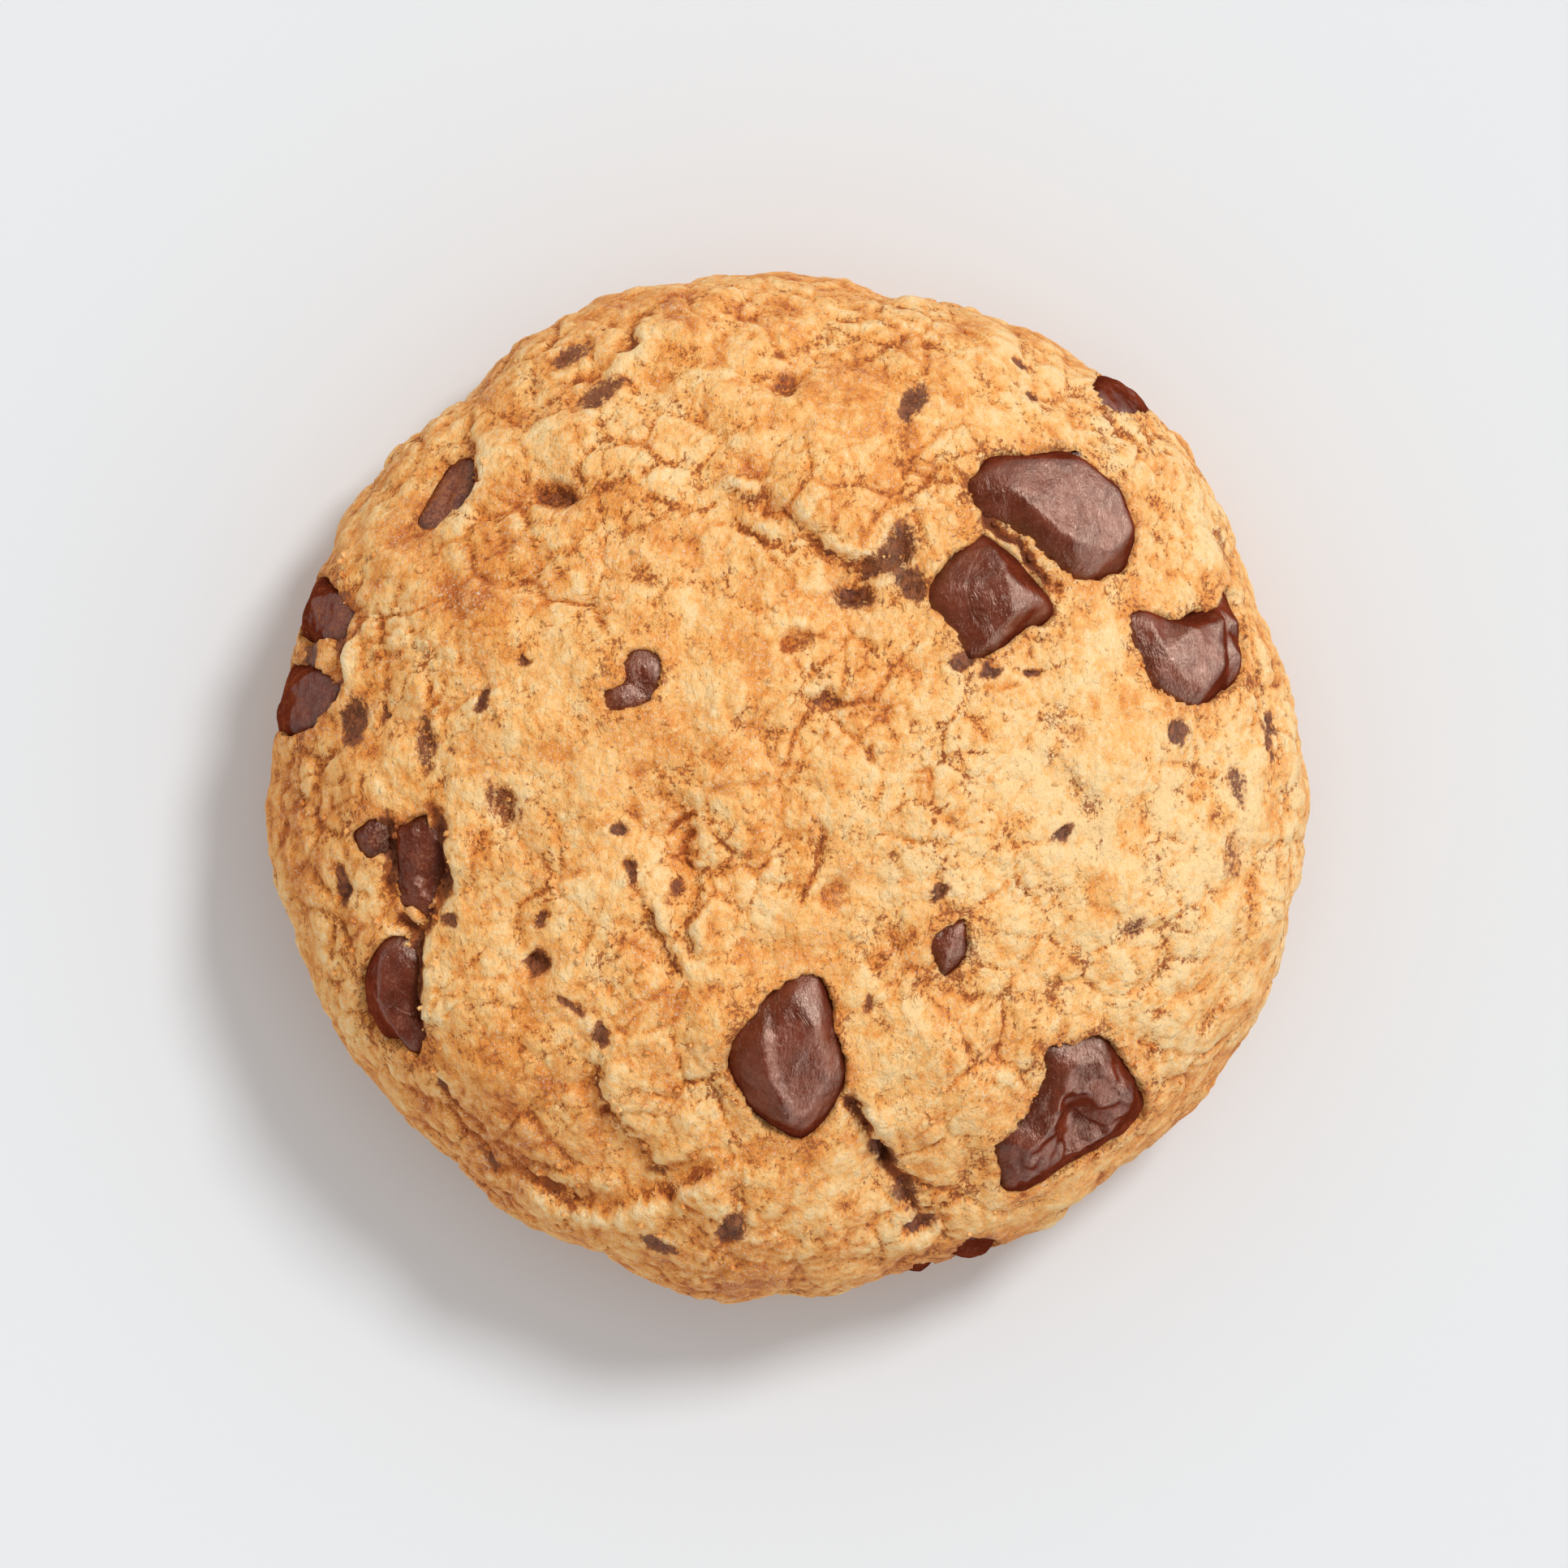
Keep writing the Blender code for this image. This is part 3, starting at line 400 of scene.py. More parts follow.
# Depth of the pits in the skin of the melted chips, their size and how they are pushed about.
MELTED = dict(chip_lower_right=0.5, chip_left_melted=0.5, chip_right=0.15, chip_left_small=0.3)
PIT_SIZE = 1.5
PIT_PUSH = (1.4, 0.6)

# How the dough meets a chip: it drops into a pocket inside the chip's outline, with a raised,
# ragged lip outside it.
POCKET_DEPTH = 2.0
POCKET_WALL = 0.3
POCKET_START = 0.25
LIP_RISE = 0.15
LIP_REACH = 1.2
LIP_CALM = 0.6

# How many times the relief is averaged to find the hollows and the pores in it, which are painted with
# shade.
HOLLOW_ROUNDS = 40
PORE_ROUNDS = 4

# Crumbs on the dough: how many, their smallest and largest size, how far they are sunk as a share
# of their size, and how their number grows at cracks, round chips and in hollows. A few,
# `CRUMB_SPREAD`, lie anywhere, and more in patches. None lies below `CRUMB_LOWEST` or deeper in a
# pocket than `CRUMB_POCKET_SHARE`. `CRUMB_MARKS` colour them like the dough under them.
CRUMB_COUNT = 1700
CRUMB_SIZES = (0.2, 0.8)
CRUMB_SUNK = 0.16
CRUMB_SHAPE = (1.0, 0.8, 0.62)
CRUMB_CROWDING = dict(shaded_crack=6.0, lip=0.4, shaded_hollow=2.0)
CRUMB_MARKS = ("toast_and_painted_light", "low", "lip", "shaded_hollow", "shaded_crack")
CRUMB_SPREAD = 0.05
CRUMB_PATCHES = 6.0
CRUMB_LOWEST = 19.0
CRUMB_POCKET_SHARE = 0.05
CRUMB_SEED = 11

# Bumps of a crumb: how many across it, their height, and how far apart the crumbs are in the noise.
CRUMB_BUMPS = 2.6
CRUMB_BUMP_HEIGHT = 0.6
CRUMB_VARIETY = 90

# Camera straight above, with a long lens. The frame is square, of points that show 0.07 mm.
CAMERA_HEIGHT = 1.6
CAMERA_REACH = 20
FRAME_POINTS = 1932
POINT_WIDTH = 0.07 * MM
FRAME_WIDTH = FRAME_POINTS * POINT_WIDTH
FRAME_CENTRE_X = -0.14 * MM
SENSOR = 36.0

# Lights and floor
SKY = 0.66
KEY_POWER = 1.7
KEY_SPREAD = 14.0
KEY_HEADING = 45.0
KEY_HEIGHT = 54.0
FLOOR_TONE = (0.745, 0.763, 0.777, 1)

# Pale cards that only show as sheen in what is glossy: degrees round from +X, height in degrees,
# power.
CARDS = ((50.0, 32.0, 1.7), (5.0, 22.0, 1.6), (-45.0, 16.0, 1.3))
CARD_SPREAD = 32.0
FLOOR_SIZE = 3.0

# Colours as seen, from 0 to 255 a channel
COLOURS = dict(
    pale=(255, 213, 150), golden=(254, 190, 110), toasted=(240, 154, 66), browned=(202, 106, 36),
    # The crack colour is painted shade in cracks, ledge feet and creases, partly the crust's own brown.
    flour=(255, 236, 198), vein=(160, 80, 32), speck=(162, 82, 32), shaded_crack=(112, 52, 22),
    stain=(190, 104, 44), cocoa_dark=(88, 38, 20), cocoa_light=(148, 82, 44),
    chocolate_dark=(98, 37, 20), chocolate_light=(124, 53, 32), bloom=(166, 96, 70),
    # The rim colour is painted shade round a chip's edge, where it goes under the dough.
    crumbs=(164, 92, 44), rim=(52, 20, 12), sheen=(255, 226, 206),
)

# Noise in the dough and in the chocolate: size in millimetres, detail, roughness, distortion.
DOUGH_NOISE = dict(
    clouds=(5.0, 4.0, 0.6), clusters=(3.6, 3.0, 0.6), blots=(1.7, 5.0, 0.7, 0.5),
    grit=(0.7, 4.0, 0.75), specks=(0.34, 2.0, 0.6), powder=(0.2, 3.0, 0.8), veins=(1.6, 4.0, 0.6, 0.4),
)
CHOCOLATE_NOISE = dict(
    clouds=(2.6, 3.0, 0.6), dust=(0.3, 3.0, 0.7), creases=(0.8, 5.0, 0.65, 0.8),
    fine=(0.2, 3.0, 0.7, 0.6),
)

# The finer noise of the dough is drawn out along its Y axis, turned by some degrees.
DOUGH_STRETCH = 1.35
DOUGH_TURN = 5.0

# Fine bumps in millimetres. Grains of the dough are given as size, push and height.
GRAIN_BUMP = (0.75, 0.8, 0.22)
SPECK_BUMP = 0.19
POWDER_BUMP = 0.12
CREASE_BUMP = 0.19
FINE_BUMP = 0.07


def rim_radius(turn):
    """Radius of the widest outline at an angle from +X, on a smooth closed curve."""
    place = np.asarray(turn) / (2 * math.pi) * len(RIM_RADII)
    knot = np.floor(place).astype(int)
    part = place - knot
    before, start, end, after = (np.take(RIM_RADII, knot + shift, mode="wrap") for shift in (-1, 0, 1, 2))
    slope = (end - before) / 2
    bend = before - 2.5 * start + 2 * end - after / 2
    twist = (after - before) / 2 + 1.5 * (start - end)
    return start + part * (slope + part * (bend + part * twist))


def side_profile():
    """Travel from crown to base edge, with the share of the outline's radius and the height."""
    upper = np.linspace(0, math.pi / 2, PROFILE_STEPS)
    lower = upper[1:]
    share = np.concatenate([
        np.sin(upper) ** (2 / DOME_FULLNESS),
        BASE_SHARE + (1 - BASE_SHARE) * np.cos(lower),
    ])
    height = np.concatenate([
        WAIST_HEIGHT + (TOP_HEIGHT - WAIST_HEIGHT) * np.cos(upper),
        WAIST_HEIGHT * (1 - np.sin(lower)),
    ])
    steps = np.hypot(np.diff(share * MEAN_RADIUS), np.diff(height))
    travel = np.concatenate([[0], np.cumsum(steps)])
    return travel / travel[-1], share, height


TRAVEL, SHARE, HEIGHT = side_profile()


def form(turn, travel):
    """Points of the smooth cookie at angles from +X and shares of the way from crown to base."""
    radius = rim_radius(turn) * np.interp(travel, TRAVEL, SHARE)
    height = np.interp(travel, TRAVEL, HEIGHT)
    return np.stack([radius * np.cos(turn), radius * np.sin(turn), height], axis=-1)


def outward(turn, travel):
    """Directions straight out of the smooth cookie."""
    step = 0.004
    down = form(turn, travel + step) - form(turn, np.maximum(travel - step, 0))
    around = form(turn + step, travel) - form(turn - step, travel)
    normal = np.cross(down, around)
    normal += np.array([0, 0, 1e-9])
    return normal / np.linalg.norm(normal, axis=-1, keepdims=True)


def above(x, y):
    """Angle and travel of a spot seen from straight above."""
    turn = math.atan2(y, x)
    share = math.hypot(x, y) / rim_radius(turn)
    return turn, np.interp(share, SHARE[:PROFILE_STEPS], TRAVEL[:PROFILE_STEPS])


def beside(degrees, height):
    """Angle and travel of a spot on the side."""
    return math.radians(degrees), np.interp(-height, -HEIGHT, TRAVEL)


def lump_rise(points):
    """Rise of the lumps and hollows at points on the smooth form."""
    rise = np.zeros(len(points))
    for x, y, radius, height in LUMPS:
        away = np.linalg.norm(points - form(*above(x, y)), axis=1)
        rise += height * np.exp(-(away / radius) ** 2)
    return rise


def nearest_on_path(points, path):
    """Offset from the nearest spot of a path, its direction there and its distance from an end."""
    best = np.full(len(points), np.inf)
    offset = np.zeros_like(points)
    heading = np.zeros_like(points)
    run = np.zeros(len(points))
    lengths = np.linalg.norm(np.diff(path, axis=0), axis=1)
    passed = 0.0
    for start, end, length in zip(path, path[1:], lengths):
        along = (end - start) / length
        reach = np.clip((points - start) @ along, 0, length)
        away = points - (start + reach[:, None] * along)
        distance = np.linalg.norm(away, axis=1)
        nearer = distance < best
        best[nearer] = distance[nearer]
        offset[nearer] = away[nearer]
        heading[nearer] = along
        run[nearer] = passed + reach[nearer]
        passed += length
    return offset, heading, np.minimum(run, passed - run)


def ledge_rise(points, normals, ledge):
    """Rise of one ledge, proud on the left of its path with a gully on the right, and its foot, where shade
    is painted.
    """
    path = np.array([form(*above(x, y)) for x, y in ledge["path"]])
    offset, heading, from_end = nearest_on_path(points, path)
    left = np.cross(normals, heading)
    side = np.einsum("ij,ij->i", offset, left)
    distance = np.linalg.norm(offset, axis=1)
    climb = 0.5 + 0.5 * np.tanh(side / LEDGE_EDGE)
    proud = ledge["rise"] * climb * np.exp(-(distance / ledge["reach"]) ** 2)
    gully = ledge["drop"] * (1 - climb) * np.exp(-(distance / LEDGE_GULLY) ** 2)
    fade = np.clip((from_end + 1) / LEDGE_FADE, 0, 1)
    fade *= np.clip(LEDGE_MEAN + LEDGE_SWING * waves(points, LEDGE_WAVE), *LEDGE_LIMITS)
    foot = fade * np.exp(-((side + 0.5 * LEDGE_EDGE) / FOOT_WIDTH) ** 2) * (distance < LEDGE_GULLY)
    return (proud - gully) * fade, foot


def oval_distance(points, x, y, length, width, degrees):
    """Distance from the middle of an oval on the dough, where 1 is its edge."""
    turn, travel = above(x, y)
    normal = outward(turn, travel)
    heading = np.array([math.cos(math.radians(degrees)), math.sin(math.radians(degrees)), 0])
    long_way = heading - normal * (heading @ normal)
    long_way /= np.linalg.norm(long_way)
    short_way = np.cross(normal, long_way)
    away = (points - form(turn, travel)) * 2
    oval = (away @ long_way / length) ** 2 + (away @ short_way / width) ** 2 + (away @ normal / length) ** 2
    return np.sqrt(oval)


def waves(points, wavelength):
    """Smooth noise at points, about -1 to 1."""
    return np.array([noise.noise(point) for point in (points / wavelength).tolist()])


def shaken(points, wavelength, reach):
    """Points pushed about by smooth noise, which makes what is measured from them ragged."""
    push = np.array([tuple(noise.noise_vector(point)) for point in (points / wavelength).tolist()])
    return points + reach * push


def crags(points, size):
    """Rounded lumps, about 0 to 1, and the closeness of each point to a crease between them."""
    near = np.array([noise.voronoi(point)[0][:2] for point in (points / size).tolist()])
    return 1 - near[:, 0], np.exp(-((near[:, 1] - near[:, 0]) / CREASE_WIDTH) ** 2)


def skin_grid():
    """Angle and travel of each point of the dough's skin, with the faces between them.

    A square grid is bent into a disc over the crown. Rings carry on from its edge to the base.
    """
    half = CROWN_CELLS // 2
    row, column = np.mgrid[-half:half + 1, -half:half + 1].reshape(2, -1)
    ring = np.maximum(abs(row), abs(column))
    across = np.where(ring == 0, 1, ring)
    quarter = math.pi / 4
    turn = np.select(
        [(column == ring) & (abs(row) <= ring), row == ring, column == -ring],
        [quarter * row / across, quarter * (2 - column / across), quarter * (4 - row / across)],
        quarter * (6 + column / across),
    )
    travel = CROWN_SHARE * ring / half
    width = CROWN_CELLS + 1
    cells = [(i * width + j, i * width + j + 1, (i + 1) * width + j + 1, (i + 1) * width + j)
             for i in range(CROWN_CELLS) for j in range(CROWN_CELLS)]

    sides = 4 * CROWN_CELLS
    edge = np.flatnonzero(ring == half)
    edge = edge[np.argsort(np.round(turn[edge] % (2 * math.pi), 6))]
    side_turn = np.arange(sides) * 2 * math.pi / sides
    inner = list(edge)
    first = len(turn)
    for level in np.linspace(CROWN_SHARE, 1, SIDE_RINGS + 1)[1:]:
        outer = list(range(first, first + sides))
        cells += [(inner[k - 1], outer[k - 1], outer[k], inner[k]) for k in range(sides)]
        turn = np.concatenate([turn, side_turn])
        travel = np.concatenate([travel, np.full(sides, level)])
        inner = outer
        first += sides
    base = tuple(reversed(inner))
    return turn, travel, cells + [base]


def closed_curve(corners, count):
    """Points spaced evenly along a smooth closed curve through the corners."""
    before, after, beyond = (np.roll(corners, shift, axis=0) for shift in (1, -1, -2))
    fine = []
    for p, a, b, q in zip(before, corners, after, beyond):
        for part in np.arange(CURVE_STEPS) / CURVE_STEPS:
            pull = part * ((b - p) + part * (2 * p - 5 * a + 4 * b - q + part * (3 * a - p - 3 * b + q)))
            fine.append(a + 0.5 * pull)
    fine = np.array(fine + fine[:1])
    passed = np.concatenate([[0], np.cumsum(np.linalg.norm(np.diff(fine, axis=0), axis=1))])
    marks = np.arange(count) / count * passed[-1]
    return np.stack([np.interp(marks, passed, fine[:, axis]) for axis in range(3)], axis=1)


def raised(spots, by_side):
    """Points on the lumpy dough at spots, and the mean direction out of it."""
    places = [beside(*spot) if by_side else above(*spot) for spot in spots]
    turn, travel = np.array(places).T
    points = form(turn, travel)
    normals = outward(turn, travel)
    out = normals.mean(axis=0)
    return points + normals * lump_rise(points)[:, None], out / np.linalg.norm(out)


def flat_axes(out):
    """Two directions across a chip, at right angles to the direction out of the dough."""
    first = np.cross(out, np.array([0.0, 1.0, 0.0]))
    first /= np.linalg.norm(first)
    return first, np.cross(out, first)


def inside_distance(points, chip):
    """Distance of each point inside a chip's outline, seen along its direction out. Outside is negative."""
    corners, out = raised(chip["corners"], chip.get("beside"))
    rim = closed_curve(corners, CHIP_SIDES)
    centre = rim.mean(axis=0)
    reach = np.linalg.norm(rim - centre, axis=1).max() + 4
    near = np.flatnonzero(np.linalg.norm(points - centre, axis=1) < reach)
    axes = np.stack(flat_axes(out), axis=1)
    spots = (points[near] - centre) @ axes
    outline = (rim - centre) @ axes
    best = np.full(len(spots), np.inf)
    inside = np.zeros(len(spots), bool)
    for start, end in zip(outline, np.roll(outline, -1, axis=0)):
        along = end - start
        part = np.clip((spots - start) @ along / (along @ along), 0, 1)
        best = np.minimum(best, np.linalg.norm(spots - start - part[:, None] * along, axis=1))
        crosses = (start[1] > spots[:, 1]) != (end[1] > spots[:, 1])
        level = np.where(crosses, start[0] + (spots[:, 1] - start[1]) * along[0] / (along[1] or 1), -np.inf)
        inside ^= crosses & (spots[:, 0] < level)
    distance = np.full(len(points), -np.inf)
    distance[near] = np.where(inside, best, -best)
    return distance


def dough_relief(points, normals):
    """Rise of the dough over the smooth form, marks for its colours, and the pockets of the chips."""
    ragged = points
    for wavelength, reach in RAGGED_PUSHES:
        ragged = shaken(ragged, wavelength, reach)
    lumps = lump_rise(points)
    rise = sum(height * waves(points, wavelength) for wavelength, height in GRAIN)
    # The crack mark paints shade at the feet of ledges, along cracks and in creases, partly over the
    # crust's own brown there.
    shaded_crack = np.zeros(len(points))
    for ledge in LEDGES:
        lift, foot = ledge_rise(ragged, normals, ledge)
        rise += lift
        shaded_crack = np.maximum(shaded_crack, foot)
    for depth, width, path in CRACKS:
        line = np.array([form(*above(x, y)) for x, y in path])
        offset, _, _ = nearest_on_path(ragged, line)
        close = np.exp(-(np.linalg.norm(offset, axis=1) / width) ** 2)
        shaded_crack = np.maximum(shaded_crack, (CRACK_SHADE + CRACK_SHADE_BY_DEPTH * depth) * close)
        rise -= depth * close
    cocoa_and_gap_shadow = np.zeros(len(points))
    for x, y, length, width, degrees, depth in PITS:
        rise -= depth * np.exp(-oval_distance(ragged, x, y, length, width, degrees) ** 2)
    patches = np.clip(waves(points, CREASE_PATCHES) + CREASE_SHARE, 0, 1)
    for size, height in CRAGS:
        round_top, crease = crags(shaken(points, size, size * CRAG_PUSH), size)
        rise += height * (round_top - CRAG_LEVEL - CREASE_DEPTH * crease * patches)
        shaded_crack = np.maximum(shaded_crack, CREASE_SHADE * crease * patches)
    for wavelength, height in FINE_GRAIN:
        rise += height * waves(ragged, wavelength)

    lip = np.zeros(len(points))
    pocket = np.zeros(len(points))
    for chip in CHIPS.values():
        distance = inside_distance(ragged, chip)
        lip = np.maximum(lip, np.exp(-(np.maximum(-distance, 0) / LIP_REACH) ** 2))
        pocket = np.maximum(pocket, np.clip((distance - POCKET_START) / POCKET_WALL, 0, 1))
    rise = rise * (1 - LIP_CALM * lip) + LIP_RISE * lip
    for x, y, length, width, degrees, cover in FLECKS:
        distance = oval_distance(ragged, x, y, length, width, degrees)
        cocoa_and_gap_shadow = np.maximum(cocoa_and_gap_shadow, cover * np.clip(FLECK_FULL - FLECK_FADE * distance, 0, 1))
        rise -= FLECK_DENT * np.exp(-distance ** 4)
    calm = np.clip(points[:, 2] / BASE_CALM, 0, 1) ** 2
    return (lumps + rise) * calm, shaded_crack, cocoa_and_gap_shadow, lip, pocket


def smoothed(values, starts, ends, times):
    """Values averaged over neighbours along the edges, a number of times."""
    size = len(values)
    count = np.bincount(starts, minlength=size) + np.bincount(ends, minlength=size)
    for _ in range(times):
        total = np.bincount(starts, values[ends], size) + np.bincount(ends, values[starts], size)
        values = 0.5 * values + 0.5 * total / np.maximum(count, 1)
    return values


def new_piece(name, points, faces, material, **marks):
    """A smooth object from points in millimetres, with named values at its points."""
    mesh = bpy.data.meshes.new(name)
    mesh.from_pydata((points * MM).tolist(), [], faces)
    for mark, values in marks.items():
        mesh.attributes.new(mark, "FLOAT", "POINT").data.foreach_set("value", values.astype(np.float32))
    mesh.materials.append(material)
    mesh.shade_smooth()
    piece = bpy.data.objects.new(name, mesh)
    bpy.context.scene.collection.objects.link(piece)
    return piece


def edge_ends(faces):
    """Both ends of each side of each face, for faces of four corners."""
    corners = np.array([face for face in faces if len(face) == 4])
    return corners.ravel(), np.roll(corners, -1, axis=1).ravel()


def make_dough(material):
    """The dough's skin with its relief. Returns its points, the ways out, its marks and the pockets."""
    turn, travel, faces = skin_grid()
    points = form(turn, travel)
    normals = outward(turn, travel)
    rise, shaded_crack, cocoa_and_gap_shadow, lip, pocket = dough_relief(points, normals)
    skin = points + normals * (rise - POCKET_DEPTH * pocket)[:, None]
    starts, ends = edge_ends(faces)
    # Hollows and pores, where the relief lies below its average, get painted shade in the dough's colour.
    shaded_hollow = smoothed(rise, starts, ends, HOLLOW_ROUNDS) - rise
    shaded_pore = smoothed(rise, starts, ends, PORE_ROUNDS) - rise
    toast_and_painted_light = np.zeros(len(points))
    # The patches carry toasting, painted shade on the left and lower edge and painted light on the right
    # side.
    for x, y, radius, strength in PATCHES:
        away = np.linalg.norm(points - form(*above(x, y)), axis=1)
        toast_and_painted_light += strength * np.exp(-(away / radius) ** 2)
    low = np.clip(1 - points[:, 2] / LOW_HEIGHT, 0, 1)
    marks = dict(shaded_hollow=shaded_hollow, shaded_pore=shaded_pore, toast_and_painted_light=toast_and_painted_light, shaded_crack=shaded_crack, cocoa_and_gap_shadow=cocoa_and_gap_shadow, lip=lip, low=low)
    piece = new_piece("cookie_dough", skin, faces, material, **marks)
    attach(piece, "root")
    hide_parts("dough")
    return skin, normals, marks, pocket


def make_crumbs(skin, normals, marks, pocket, material):
    """Small ragged crumbs of dough, crowded at cracks, round chips and in hollows."""
    chance = np.random.default_rng(CRUMB_SEED)
    weight = CRUMB_SPREAD + np.clip(waves(skin, CRUMB_PATCHES), 0, 1) ** 2
    for mark, factor in CRUMB_CROWDING.items():
        weight = weight + factor * np.clip(marks[mark], 0, 1)
    weight = weight * (skin[:, 2] > CRUMB_LOWEST) * (pocket < CRUMB_POCKET_SHARE) * (1 - marks["cocoa_and_gap_shadow"])
    host = chance.choice(len(skin), CRUMB_COUNT, replace=False, p=weight / weight.sum())

    shape = bmesh.new()
    bmesh.ops.create_icosphere(shape, subdivisions=2, radius=0.5)
    ball = np.array([corner.co[:] for corner in shape.verts])
    sides = np.array([[corner.index for corner in face.verts] for face in shape.faces])
    shape.free()

    small, large = CRUMB_SIZES
    size = small + (large - small) * chance.random(CRUMB_COUNT) ** 3
    turns, _ = np.linalg.qr(chance.normal(size=(CRUMB_COUNT, 3, 3)))
    places = ball[None] * CRUMB_BUMPS + chance.random((CRUMB_COUNT, 1, 3)) * CRUMB_VARIETY
    bumps = 1 + CRUMB_BUMP_HEIGHT * waves(places.reshape(-1, 3), 1.0)
    rough = ball[None] * bumps.reshape(CRUMB_COUNT, -1, 1) * CRUMB_SHAPE
    bits = np.einsum("nij,nkj->nki", turns, rough) * size[:, None, None]
    lift = size * (0.5 * min(CRUMB_SHAPE) - CRUMB_SUNK)
    points = skin[host][:, None] + bits + (normals[host] * lift[:, None])[:, None]
    faces = (sides[None] + (np.arange(CRUMB_COUNT) * len(ball))[:, None, None]).reshape(-1, 3)
    spread = {mark: np.repeat(marks[mark][host], len(ball)) for mark in CRUMB_MARKS}
    piece = new_piece("cookie_crumbs", points.reshape(-1, 3), faces.tolist(), material, **spread)
    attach(piece, "root")


def facet_height(spots, corners, tops):
    """Height of a chip's facets at spots of its plane. Corners and tops are (across, along, height)."""
    knots = np.concatenate([corners, tops])
    flat = [Vector(knot[:2]) for knot in knots.tolist()]
    count = len(corners)
    rim = [(k, (k + 1) % count) for k in range(count)]
    vertices, _, triangles, origins, _, _ = delaunay_2d_cdt(flat, rim, [], 1, 1e-6)
    heights = [knots[origin[0], 2] for origin in origins]
    height = np.zeros(len(spots))
    fit = np.full(len(spots), -np.inf)
    for triangle in triangles:
        a, b, c = (np.array(vertices[k]) for k in triangle)
        share = np.linalg.solve(np.stack([b - a, c - a], axis=1), (spots - a).T).T
        shares = np.column_stack([1 - share.sum(axis=1), share])
        inside = shares.min(axis=1)
        better = inside > fit
        fit[better] = inside[better]
        height[better] = shares[better] @ [heights[k] for k in triangle]
    return height


def chip_shell(chip):
    """Rings of a chip's points from its underside up over its rim to its middle, and a mark near its rim
    for painted shade.
    """
    corners, out = raised(chip["corners"], chip.get("beside"))
    tops, _ = raised([top[:2] for top in chip["tops"]], chip.get("beside"))
    tops = tops + np.outer([top[2] for top in chip["tops"]], out)
    rim = closed_curve(corners, CHIP_SIDES)
    centre = rim.mean(axis=0)
    axes = np.stack([*flat_axes(out), out], axis=1)
    outline = (rim - centre) @ axes
    rings = [rim - (1 - size) * (rim - centre - np.outer(outline[:, 2], out))
             - np.outer(outline[:, 2], out) * share - out * chip["depth"] * share
             for size, share in reversed(CHIP_LOWER_RINGS)]
    edge = [np.ones(CHIP_SIDES) for _ in CHIP_LOWER_RINGS]
    middle = ((tops - centre) @ axes).mean(axis=0)[:2]
    sink = RIM_SINK * min(1, np.linalg.norm(outline, axis=1).mean() / RIM_SINK_RADIUS)
    nudges = [(0, 0)] + [(math.cos(k * math.pi / 4), math.sin(k * math.pi / 4)) for k in range(8)]
    for size in 1 - np.linspace(0, 1, CHIP_TOP_RINGS, endpoint=False) ** RING_CROWDING:
        spots = middle + size * (outline[:, :2] - middle)
        height = np.mean([facet_height(spots + FACET_ROUNDING * np.array(nudge), (corners - centre) @ axes,
                                       (tops - centre) @ axes) for nudge in nudges], axis=0)
        inset = (1 - size) * np.linalg.norm(outline[:, :2] - middle, axis=1)
        height -= sink * np.exp(-inset / RIM_SINK_REACH)
        rings.append(centre + np.column_stack([spots, height]) @ axes.T)
        # The edge mark paints shade near the rim, where the chip goes under the dough.
        edge.append(np.exp(-(inset / RIM_SHADE) ** 2))
    return rings, np.concatenate(edge)


def make_chip(name, chip, material):
    """One chocolate chip, with a wrinkled skin."""
    rings, edge = chip_shell(chip)
    points = np.concatenate(rings)
    count = CHIP_SIDES
    faces = [tuple(reversed(range(count))), tuple(range((len(rings) - 1) * count, len(rings) * count))]
    for level in range(len(rings) - 1):
        low = level * count
        high = low + count
        faces += [(low + k, low + (k + 1) % count, high + (k + 1) % count, high + k) for k in range(count)]
    dusted = np.full(len(points), DUSTED.get(name, 0.0))
    piece = new_piece(name + "_chocolate", points, faces, material, rim=edge, dusted=dusted)
    mesh = piece.data
    mesh.update()
    normals = np.empty(len(points) * 3, np.float32)
    mesh.vertices.foreach_get("normal", normals)
    normals = normals.reshape(-1, 3)
    centre = points.mean(axis=0)
    if np.einsum("ij,ij->i", normals, points - centre).sum() < 0:
        mesh.flip_normals()
        normals = -normals
    wavelength, height = CHIP_WAVES
    wrinkle, wrinkle_height = CHIP_WRINKLES
    wrinkles = height * waves(points, wavelength)
    wrinkles += wrinkle_height * waves(shaken(points, *WRINKLE_PUSH), wrinkle)
    wrinkles -= MELTED.get(name, 0.0) * (1 - edge) * crags(shaken(points, *PIT_PUSH), PIT_SIZE)[0]
    mesh.vertices.foreach_set("co", ((points + normals * wrinkles[:, None]) * MM).ravel())
    mesh.update()
    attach(piece, "root")
    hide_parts(name)


def seen(name):
    """A named colour as a linear colour with alpha."""
    shares = [channel / 255 for channel in COLOURS[name]]
    linear = [share / 12.92 if share <= 0.04045 else ((share + 0.055) / 1.055) ** 2.4 for share in shares]
    return linear + [1]


